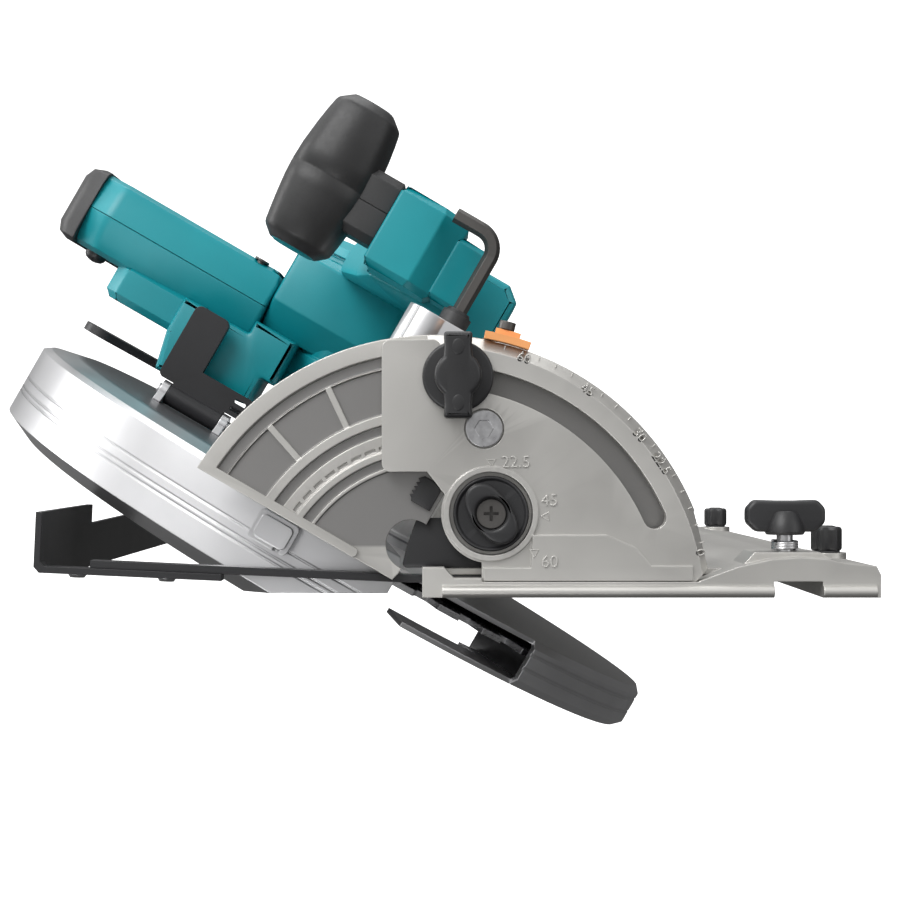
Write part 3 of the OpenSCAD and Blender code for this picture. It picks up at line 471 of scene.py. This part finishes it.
# ---------------------------------------------------------------- handle
def make_handle():
    """Two teal shells meeting at a seam, with a rubber top."""
    low, high = upright_box("handle_shell_right")
    x0, x1 = high.x - HANDLE_WIDTH, high.x
    seam = (x0 + x1) / 2
    y0, z0 = low.y, low.z
    def at(points):
        return [(y0 + u, z0 + v) for u, v in points]
    outer = fillet(at([(4, 20), (0, 98), (9, 115), (24, 120), (110, 106), (152, 88), (170, 56),
                       (174, 0), (89, 0), (89, 20)]), [2, 8, 9, 22, 40, 30, 26, 4, 3, 2])
    hole = fillet(at([(36, 34), (28, 70), (31, 86), (41, 93), (104, 80), (126, 70), (136, 52),
                      (138, 26), (100, 22), (44, 24)]), [8, 12, 6, 8, 20, 14, 14, 8, 10, 8])
    whole = plate_mesh([outer, hole], x0, x1, "x", 6.0, 1)
    cut = at([(-20, 107), (14, 108), (42, 106), (114, 91), (126, 88), (158, 60), (200, 60), (200, 150),
              (-20, 150)])
    above = plate_mesh([cut], x0 - 5, x1 + 5, "x", 0.2, 0)
    pocket = plate_mesh([at([(46, 60), (86, 60), (86, 92), (46, 92)])], seam - 9.2, seam + 11.2, "x",
                        0.2, 0)
    teal = boolean(boolean(whole.copy(), above.copy(), "DIFFERENCE"), pocket, "DIFFERENCE")
    fat_outer = fillet(at([(3, 20), (-1, 99), (8.4, 116), (24, 121), (110.3, 107), (152.6, 89),
                           (171, 57), (175, 0), (88, 0), (88, 20)]), [2, 8, 9, 22, 40, 30, 26, 4, 3, 2])
    fat = plate_mesh([fat_outer, hole], x0 - 0.8, x1 + 0.8, "x", 6.2, 1)
    rubber = boolean(fat, above, "INTERSECT")
    halves = [half_of(teal, (seam - HALF_SEAM, 0, 0), (1, 0, 0)),
              half_of(teal, (seam + HALF_SEAM, 0, 0), (-1, 0, 0))]
    for half in halves:
        # the front and top edges rise to a crest along the seam
        for v in half.vertices:
            if v.co.y < y0 + 16:
                v.co.y += max(0.34 * (seam - v.co.x), 0.12 * (v.co.x - seam))
    left = finish_mesh("handle_left", halves[0], "teal_plastic", "head")
    right = finish_mesh("handle_right", halves[1], "teal_plastic", "head")
    top = finish_mesh("handle_top_rubber", rubber, "rubber", "head")
    block = fillet([(y0 + 6, z0 + 40), (y0 + 7, z0 + 80), (y0 + 14, z0 + 86), (y0 + 26, z0 + 86),
                    (y0 + 28, z0 + 46), (y0 + 24, z0 + 40)], 1.5)
    finish_mesh("handle_side_block", plate_mesh([block], 38.0, x0 + 4, "x", 3.0, 0), "teal_plastic",
                "head")
    root = fillet([(27, 104), (24.5, 125), (20.8, 146), (38, 150), (x0 + 3, 150), (x0 + 3, 118.3),
                   (61, 118.3), (61, 98), (40, 98), (40, 104)], [2, 3, 1.5, 1, 1, 1, 1, 1, 1, 1])
    finish_mesh("handle_root", plate_mesh([root], 136.6, 177.9, "y", 2.5, 1), "teal_plastic", "head")
    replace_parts(left, "handle_shell_left")
    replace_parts(right, "handle_shell_right")
    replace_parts(top, "handle_rubber")


def make_lock_off():
    """Domed button on the blade side of the handle."""
    low, high = upright_box("lock_off_button")
    r = (high.y - low.y) / 2
    dome = [(low.x, 0.1), (low.x + 0.2, 1.6), (low.x + 0.9, r - 1.4), (low.x + 2.0, r - 0.4),
            (low.x + 3.4, r), (high.x, r), (high.x, 0.1)]
    mesh = lathe_mesh("x", ((low.y + high.y) / 2, (low.z + high.z) / 2), dome, 64)
    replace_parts(finish_mesh("lock_off_dome", mesh, "black_plastic", "lock_off"), "lock_off_button")


# ---------------------------------------------------------------- motor
def octagon(a):
    """Radius factor of an octagon with flats at every eighth of a turn."""
    eighth = math.pi / 4
    off = (a + eighth / 2) % eighth - eighth / 2
    return min(0.955 / math.cos(off), 1.012)


def make_motor():
    """Faceted motor housing with a coned shoulder, and the bridge up to the handle."""
    low, high = upright_box("motor_housing")
    r = MOTOR.z - low.z
    x0, x1 = low.x, high.x
    profile = [(x0, r - 5), (x0, r - 3), (x0 + 15, r - 3), (x0 + 16, r - 4), (x0 + 29, r), (x0 + 46, r),
               (x0 + 46.4, r - 0.7), (x0 + 47.6, r - 0.7), (x0 + 48, r), (x1 - 3.2, r),
               (x1 - 2.8, r - 0.9), (x1 - 1.2, r - 0.9), (x1 - 0.8, r - 0.4), (x1, r - 0.4),
               (x1, r - 5)]
    mesh = lathe_mesh("x", (MOTOR.y, MOTOR.z), profile, 96, octagon)
    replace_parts(finish_mesh("motor_shell", mesh, "teal_plastic", "head"), "motor_housing")
    front = MOTOR.y - 46
    bridge = fillet([(60.5, front + 11), (73, front), (97.5, front), (97.5, front + 26),
                     (60.5, front + 26)], [1, 1.5, 2, 1, 1])
    finish_mesh("motor_bridge", plate_mesh([bridge], 64, 117.4, "z", 3.0, 1), "teal_plastic", "head")
    for i in range(7):
        angle = math.radians(205 + i * 8)
        y, z = MOTOR.y + (r - 0.8) * math.cos(angle), MOTOR.z + (r - 0.8) * math.sin(angle)
        mesh = plate_mesh([fillet([(-8, -1.2), (8, -1.2), (8, 1.2), (-8, 1.2)], 1.1, 4)], -0.8, 0.8,
                          "z", 0.2, 1)
        mesh.transform(Matrix.Rotation(angle - math.pi / 2, 4, "X"))
        mesh.transform(Matrix.Translation((x0 + 50, y, z)))
        finish_mesh(f"motor_vent_{i}", mesh, "black_plastic", "head")


# ---------------------------------------------------------------- front arm and grip
def make_front_arm():
    """Chamfered teal block that carries the grip, and the arm behind it."""
    low, high = upright_box("front_arm")
    x1, y0 = high.x, low.y
    top = 82.0
    nose = fillet([(y0, top), (y0, top - 19), (y0 + 8, top - 29), (y0 + 33, top - 29), (y0 + 33, top)],
                  [1, 2, 2, 2, 1])
    block = finish_mesh("front_block", plate_mesh([nose], 97.5, x1, "x", 2.6, 0), "teal_plastic",
                        "head")
    under = fillet([(y0 + 6, top - 27), (y0 + 10, top - 40), (y0 + 33, top - 43.4),
                    (y0 + 33, top - 27)], [1, 3, 3, 1])
    finish_mesh("front_block_under", plate_mesh([under], 99, x1 - 6, "x", 2.0, 0), "teal_plastic",
                "head")
    arm = fillet([(y0 + 30, 46), (y0 + 30, 80), (100, 88), (126, 97), (150, 97), (150, 60), (100, 58),
                  (80, 46)], [2, 4, 12, 8, 2, 2, 12, 8])
    finish_mesh("front_arm_beam", plate_mesh([arm], 96, 112, "x", 3.0, 1), "teal_plastic", "head")
    cover_low, cover_high = upright_box("controller_cover")
    cover = fillet([(cover_low.x, cover_low.z + 4), (cover_low.x + 4, cover_low.z),
                    (cover_high.x - 5, cover_low.z), (cover_high.x, cover_low.z + 6),
                    (cover_high.x, cover_high.z - 7), (cover_high.x - 6, cover_high.z),
                    (cover_low.x + 4, cover_high.z), (cover_low.x, cover_high.z - 6)], 1.5)
    shell = finish_mesh("controller_shell", plate_mesh([cover], cover_low.y, cover_high.y, "y", 3.0, 1),
                        "teal_plastic", "head")
    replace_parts(shell, "controller_cover")
    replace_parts(block, "front_arm")


def make_grip():
    """Barrel grip with softly flattened sides, a parting line, a neck and a teal end."""
    low, high = upright_box("front_grip_rubber")
    centre = Vector(((low.x + high.x) / 2, 40.0, high.z - (high.z - 91.5) / 2))
    r = (high.y - low.y) / 2
    half = (high.x - low.x) / 2
    stations = [(-1.0, 0.02), (-1.0, 0.58), (-0.99, 0.61), (-0.905, 0.79), (-0.88, 0.825),
                (-0.85, 0.845), (-0.68, 0.892), (-0.5, 0.935), (-0.25, 0.985), (-0.06, 1.0),
                (-0.055, 0.992), (-0.045, 0.992), (-0.04, 1.0), (0.2, 0.985), (0.5, 0.925), (0.7, 0.87),
                (0.84, 0.82), (0.87, 0.80), (0.89, 0.77), (0.975, 0.58), (1.0, 0.52), (1.0, 0.02)]
    soft = superellipse(2.5)
    def barrel(a):
        return soft(a) * 0.985 * (1 + 0.010 * math.cos(8 * a))
    rings = [ring("x", centre.x + s * half, (centre.y, centre.z), lambda a, k=k: r * k * barrel(a), 96)
             for s, k in stations]
    grip = finish_mesh("grip_barrel", loft_mesh(rings), "rubber", "head", sharp=50)
    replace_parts(grip, "front_grip_rubber")
    core = lathe_mesh("x", (centre.y, centre.z), [(low.x - 0.5, 0.1), (low.x - 0.5, 8.0),
                                                  (low.x - 0.1, 8.9), (low.x + 3, 9.0)], 64,
                      lambda a: soft(a))
    end = finish_mesh("grip_end", core, "teal_plastic", "head")
    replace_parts(end, "front_grip_core")
    for s, name in ((-1, "neck_left"), (1, "neck_right")):
        x_in, x_out = 118 + s * 0.1, 118 + s * 13.4
        outline = [(x_in, 28.4), (x_out - s * 3.2, 28.4), (x_out, 31.6), (x_out, 48.4),
                   (x_out - s * 3.2, 51.6), (x_in, 51.6)]
        finish_mesh(name, plate_mesh([outline], 82.1, 100, "z", 0.5, 1), "rubber", "head")


# ---------------------------------------------------------------- knobs
def make_front_clamp_knob():
    """Disc with a waisted bar and a round hub."""
    x, z = STUD.x, STUD.z
    low, high = upright_box("front_clamp_knob")
    back, front = high.y, low.y
    disc = [(x + 12.4 * math.cos(a), z + 12.4 * math.sin(a))
            for a in [i * math.pi / 36 for i in range(72)]]
    base = finish_mesh("clamp_knob_disc", plate_mesh([disc], front + 10.6, back, "y", 1.0, 2),
                       "black_plastic", "front_clamp")
    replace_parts(base, "front_clamp_knob")
    long, wide, hub = 14.85, 4.9, 8.1
    side = []
    for i in range(13):
        t = -1 + i / 6
        side.append((x + t * long, z + wide * (0.9 + 0.12 * t * t)))
    side = [p for p in side if abs(p[0] - x) > hub * 0.95]
    arc = [(x + hub * math.cos(a), z + hub * math.sin(a)) for a in [math.radians(142 - 8 * i)
                                                                    for i in range(14)]]
    upper = [p for p in side if p[0] < x] + arc + [p for p in side if p[0] > x]
    lower = [(px, 2 * z - pz) for px, pz in upper][::-1]
    bar = fillet(upper + lower, [0.4 if abs(abs(p[0] - x) - long) > 0.1 else 3.4
                                 for p in upper + lower])
    turn = Matrix.Translation((x, 0, z)) @ Matrix.Rotation(math.radians(-30), 4,
                                                           "Y") @ Matrix.Translation((-x, 0, -z))
    mesh = plate_mesh([bar], front + 0.1, front + 11.2, "y", 1.6, 3)
    mesh.transform(turn)
    finish_mesh("clamp_knob_bar", mesh, "black_plastic", "front_clamp")
    for s in (-1, 1):
        dip = [(x + s * 9.6 + 2.9 * math.cos(a), z + 2.2 * math.sin(a))
               for a in [i * math.pi / 12 for i in range(24)]]
        mesh = plate_mesh([dip], front, front + 0.8, "y", 0.25, 2)
        mesh.transform(turn)
        finish_mesh(f"clamp_knob_dimple_{'a' if s < 0 else 'b'}", mesh, "black_plastic", "front_clamp")


def make_stop_knob():
    """Dial with a two-lobed grip and a raised rim."""
    low, high = [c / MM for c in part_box("bevel_stop_knob")]
    x, z, r = (low.x + high.x) / 2, (low.z + high.z) / 2, (high.x - low.x) / 2
    profile = [(low.y + 4.4, 0.1), (low.y + 4.4, r - 1.6), (low.y + 3.9, r - 1.2),
               (low.y + 3.6, r - 0.5), (low.y + 4.6, r), (high.y, r), (high.y, 0.1)]
    dial = finish_mesh("stop_dial", lathe_mesh("y", (x, z), profile, 96), "black_plastic", "stop_knob",
                       tilted=False)
    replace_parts(dial, "bevel_stop_knob")
    outline = []
    for i in range(72):
        a = 2 * math.pi * i / 72
        lobe = 0.5 + 0.5 * math.cos(2 * (a - math.radians(125)))
        outline.append((x + (7.2 + 4.6 * lobe ** 1.6) * math.cos(a),
                        z + (7.2 + 4.6 * lobe ** 1.6) * math.sin(a)))
    hole = [(x + 5.5 * math.cos(a), z + 5.5 * math.sin(a))
            for a in [i * math.pi / 24 for i in range(48)]]
    finish_mesh("stop_grip", plate_mesh([outline, hole], low.y + 0.2, low.y + 5.2, "y", 1.2, 3),
                "black_plastic", "stop_knob", tilted=False)


def make_adjusters():
    """Lobed finger nuts on the guide-rail side."""
    for node, body in (("front_rail_adjuster", "front_adjuster"),
                       ("rear_rail_adjuster", "rear_adjuster")):
        low, high = [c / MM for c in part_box(node)]
        x, y, r = (low.x + high.x) / 2, (low.y + high.y) / 2, (high.x - low.x) / 2
        outline = [(x + (r - 0.7 + 0.7 * math.cos(6 * a)) * math.cos(a),
                    y + (r - 0.7 + 0.7 * math.cos(6 * a)) * math.sin(a))
                   for a in [i * math.pi / 48 for i in range(96)]]
        knob = finish_mesh(node + "_knob", plate_mesh([outline], high.z - 9.6, high.z - 0.4, "z", 1.3,
                                                      3), "black_plastic", body, tilted=False)
        stem = [(low.z + 0.2, 2.4), (high.z - 10.4, 2.4), (high.z - 10.2, 5.0), (high.z - 9.4, 5.0)]
        finish_mesh(node + "_stem", lathe_mesh("z", (x, y), stem, 48), "black_plastic", body,
                    tilted=False)
        dome = [(high.z - 1.2, 3.6), (high.z - 0.3, 3.4), (high.z, 2.6), (high.z, 0.1)]
        finish_mesh(node + "_cap", lathe_mesh("z", (x, y), dome, 48), "black_plastic", body,
                    tilted=False)
        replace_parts(knob, node)


def make_wing_bolt():
    """Wing bolt with two rounded wings on a coned hub, over its coil spring."""
    low, high = [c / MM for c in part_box("fence_wing_bolt")]
    x, y, top = (low.x + high.x) / 2, (low.y + high.y) / 2, high.z
    hub = [(top - 12.6, 0.1), (top - 12.6, 6.6), (top - 11.6, 7.2), (top - 9.5, 7.0), (top - 5, 5.2),
           (top - 4.2, 4.4), (top - 4.0, 0.1)]
    part = finish_mesh("wing_hub", lathe_mesh("z", (x, y), hub, 64), "black_plastic", "wing_bolt",
                       tilted=False)
    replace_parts(part, "fence_wing_bolt")
    wing = [(-14.2, 4.4), (-14.2, 9.4), (-11.4, 12.5), (-3.0, 12.2), (3.0, 12.2), (11.4, 12.5),
            (14.2, 9.4), (14.2, 4.4), (10.6, 1.0), (-10.6, 1.0)]
    outline = fillet([(x + u, top - 12.6 + v) for u, v in wing], 3.0)
    finish_mesh("wings", plate_mesh([outline], y - 3.1, y + 3.1, "y", 1.5, 3), "black_plastic",
                "wing_bolt", tilted=False)
    finish_mesh("wing_stem", lathe_mesh("z", (x, y), [(low.z, 0.1), (low.z, 2.9), (top - 12, 2.9)], 48),
                "steel", "wing_bolt", tilted=False)
    spring = [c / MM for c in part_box("fence_spring")]
    turns, steps = 3.5, 24
    rings = []
    wire, radius = 0.55, (spring[1].x - spring[0].x) / 2 - 0.55
    for i in range(int(turns * steps) + 1):
        a = 2 * math.pi * i / steps
        z = spring[0].z + wire + (spring[1].z - spring[0].z - 2 * wire) * i / (turns * steps)
        out = Vector((math.cos(a), math.sin(a), 0))
        centre = Vector((x, y, z)) + out * radius
        rings.append([tuple(centre + out * wire * math.cos(b) + Vector((0, 0, 1)) * wire * math.sin(b))
                      for b in [k * math.pi / 5 for k in range(10)]])
    coil = finish_mesh("fence_coil", loft_mesh(rings), "steel", "base", tilted=False)
    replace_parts(coil, "fence_spring")


# ---------------------------------------------------------------- guard and stops
def make_guard_wall():
    """Wall that closes the open front end of the lower guard behind its mouth."""
    low, high = upright_box("lower_guard")
    hub = upright(JOINTS["guard_swing"]["pos_m"])
    r = hub.z - low.z
    outline = fillet([(low.x + 1, 96), (low.x + 1, r - 4), (low.x + 4, r - 1.2), (high.x - 4, r - 1.2),
                      (high.x - 1, r - 4), (high.x - 1, 96)], 1.0)
    wall = plate_mesh([outline], -0.8, 0.8, "y", 0.3, 1)
    wall.transform(Matrix.Rotation(math.radians(222 - 90), 4, "X"))
    wall.transform(Matrix.Translation((0, hub.y, hub.z)))
    finish_mesh("guard_wall", wall, "dark_steel", "guard")


def make_stop_cam():
    """Toothed cam on the sector that meets the bevel stops, and the dark web behind the front strip."""
    teeth = []
    for i in range(5):
        teeth += [(31.6 + 1.6 * i, 21.4), (32.4 + 1.6 * i, 22.6)]
    outline = [(30.6, 13.4), (30.6, 21.0)] + teeth + [(40.6, 21.0), (40.6, 15.4), (38.6, 13.4)]
    finish_mesh("stop_cam", plate_mesh([outline], -12.5, -9.6, "y", 0.3, 1), "black_plastic",
                "carriage")
    web = fillet([(-12.0, 9.8), (-10.0, 18.0), (-6.5, 27.5), (6.0, 27.5), (19.0, 13.5), (19.0, 9.8)],
                 1.5)
    finish_mesh("front_web", plate_mesh([web], -7.4, -6.5, "y", 0.2, 1), "dark_steel", "base",
                tilted=False)


# ---------------------------------------------------------------- marks
def text_mesh(words, size, thick):
    """Raised generic figures as a mesh in millimetres, centred."""
    data = bpy.data.curves.new("figures", "FONT")
    data.body = words
    data.size = size
    data.extrude = thick
    data.align_x = "CENTER"
    data.align_y = "CENTER"
    carrier = bpy.data.objects.new("figures", data)
    bpy.context.scene.collection.objects.link(carrier)
    bpy.context.view_layer.update()
    mesh = bpy.data.meshes.new_from_object(carrier.evaluated_get(bpy.context.evaluated_depsgraph_get()))
    bpy.data.objects.remove(carrier)
    weld(mesh)
    return mesh


def make_scale():
    """Degree figures and ticks on the sloping rim, and stop marks round the dial."""
    y0 = PLATE_FRONT
    places = [("0", 13.5), ("22.5", 34), ("30", 41.5), ("45", 56), ("60", 71)]
    for words, angle in places:
        mesh = text_mesh(words, 5.0, 0.9)
        mesh.transform(Matrix.Rotation(math.radians(90), 4, "X"))
        mesh.transform(Matrix.Translation((0, y0 + 0.9, FIGURE_R)))
        mesh.transform(Matrix.Rotation(math.radians(90 - angle), 4, "Y"))
        mesh.transform(Matrix.Translation((0, 0, BEVEL_HEIGHT)))
        finish_mesh("scale_" + words.replace(".", "_"), mesh, "magnesium", "base", tilted=False)
    for i in range(17):
        angle = 15.4 + i * 3.75
        length = 2.2 if i % 2 else 3.4
        mesh = plate_mesh([[(-0.18, -length / 2), (0.18, -length / 2), (0.18, length / 2),
                            (-0.18, length / 2)]], -0.8, 0.8, "y", 0.05, 0)
        mesh.transform(Matrix.Translation((0, y0 + 2.9, TICK_R - length / 2)))
        mesh.transform(Matrix.Rotation(math.radians(90 - angle), 4, "Y"))
        mesh.transform(Matrix.Translation((0, 0, BEVEL_HEIGHT)))
        finish_mesh(f"tick_{i:02d}", mesh, "magnesium", "base", tilted=False)
    marks = [("22.5", 28.2, 47.2, 6.0), ("45", 40.0, 33.8, 6.0), ("60", 40.0, 12.4, 6.0)]
    for words, x, z, size in marks:
        mesh = text_mesh(words, size, 0.5)
        mesh.transform(Matrix.Rotation(math.radians(90), 4, "X"))
        front = y0 - (LEDGE if words == "60" else 0)
        mesh.transform(Matrix.Translation((x, front, z)))
        finish_mesh("stop_mark_" + words.replace(".", "_"), mesh, "magnesium", "base", tilted=False)
    arrows = [(19.6, 47.3, -90, 0), (38.9, 28.4, 180, 0), (34.6, 15.8, 150, LEDGE)]
    for i, (x, z, turn, lift) in enumerate(arrows):
        tri = [(2.1 * math.cos(math.radians(turn + k * 120)),
                2.1 * math.sin(math.radians(turn + k * 120))) for k in range(3)]
        inner = [(0.62 * u, 0.62 * v) for u, v in tri]
        outline = [(x + u, z + v) for u, v in tri]
        hole = [(x + u, z + v) for u, v in inner]
        mesh = plate_mesh([outline, hole], y0 - lift - 0.25, y0 - lift + 0.3, "y", 0.08, 0)
        finish_mesh(f"stop_arrow_{i}", mesh, "magnesium", "base", tilted=False)


# ---------------------------------------------------------------- stage
def make_camera():
    """Looks squarely at the front from close by, as the photograph does."""
    cam = bpy.data.cameras.new("camera")
    cam.lens = 75.5
    cam.sensor_width = 36
    cam.shift_x = 0.0111
    cam.shift_y = 0.0144
    cam.clip_start = 0.01
    obj = bpy.data.objects.new("camera", cam)
    obj.location = (0.0017, -0.678, 0.047)
    obj.rotation_euler = (math.radians(90), 0, 0)
    bpy.context.scene.collection.objects.link(obj)
    bpy.context.scene.camera = obj


def area_light(name, place, target, size, power):
    """Soft box that faces a target."""
    data = bpy.data.lights.new(name, "AREA")
    data.shape = "RECTANGLE"
    data.size, data.size_y = size
    data.energy = power
    obj = bpy.data.objects.new(name, data)
    obj.location = place
    obj.rotation_euler = (Vector(target) - Vector(place)).to_track_quat("-Z", "Y").to_euler()
    bpy.context.scene.collection.objects.link(obj)


def make_sweep(low):
    """Pale floor that curves up into a backdrop; it lights nothing itself."""
    profile = [(-3.0, low), (1.6, low)]
    profile += [(1.6 + 0.8 * math.sin(t), low + 0.8 - 0.8 * math.cos(t))
                for t in [math.pi * i / 24 for i in range(1, 13)]]
    profile.append((2.4, low + 3.0))
    bm = bmesh.new()
    rows = [[bm.verts.new((x, y, z)) for y, z in profile] for x in (-4.0, 4.0)]
    for i in range(len(profile) - 1):
        bm.faces.new((rows[0][i], rows[1][i], rows[1][i + 1], rows[0][i + 1]))
    mesh = bpy.data.meshes.new("floor")
    bm.to_mesh(mesh)
    bm.free()
    mesh.shade_smooth()
    sweep = bpy.data.objects.new("floor", mesh)
    bpy.context.scene.collection.objects.link(sweep)
    mat, _, _, shader = new_material("floor", (0.9, 0.9, 0.9), 0.0, 0.9)
    shader.inputs["Emission Color"].default_value = (1, 1, 1, 1)
    shader.inputs["Emission Strength"].default_value = 0.75
    sweep.data.materials.append(mat)
    sweep.visible_diffuse = False
    sweep.visible_glossy = False


def make_world():
    """Studio surroundings: dim room, paler towards the upper left and the front."""
    world = bpy.data.worlds.new("world")
    world.use_nodes = True
    nodes, links = world.node_tree.nodes, world.node_tree.links
    coord = nodes.new("ShaderNodeTexCoord")
    tilt = nodes.new("ShaderNodeVectorMath")
    tilt.operation = "DOT_PRODUCT"
    tilt.inputs[1].default_value = (-0.45, -0.35, 0.82)
    links.new(coord.outputs["Generated"], tilt.inputs[0])
    tone = nodes.new("ShaderNodeMapRange")
    tone.interpolation_type = "SMOOTHSTEP"
    tone.inputs["From Min"].default_value = -0.5
    tone.inputs["From Max"].default_value = 0.95
    tone.inputs["To Min"].default_value = 0.10
    tone.inputs["To Max"].default_value = 0.85
    links.new(tilt.outputs["Value"], tone.inputs["Value"])
    links.new(tone.outputs["Result"], nodes["Background"].inputs["Strength"])
    nodes["Background"].inputs["Color"].default_value = (1, 1, 1, 1)
    bpy.context.scene.world = world


def make_stage():
    """Floor, soft boxes and surroundings."""
    make_sweep(cad_box[0][2] - 0.12)
    middle = (-0.02, 0.1, 0.06)
    area_light("key", (-0.8, -1.1, 1.3), middle, (1.1, 0.9), 22)
    area_light("fill", (1.5, -1.0, 0.5), middle, (1.0, 1.4), 6)
    area_light("top", (-0.1, 0.5, 1.6), middle, (1.5, 0.9), 12)
    area_light("strip", (-1.3, 0.3, 0.5), middle, (0.5, 1.2), 8)
    area_light("low", (-0.5, -0.9, -0.55), middle, (0.9, 0.5), 5)
    make_world()
    bpy.context.scene.view_settings.view_transform = "Standard"


make_camera()
dress_cad_nodes()
make_handle()
make_lock_off()
make_motor()
make_front_arm()
make_grip()
make_front_clamp_knob()
make_stop_knob()
make_adjusters()
make_wing_bolt()
make_guard_wall()
make_stop_cam()
make_scale()
make_stage()
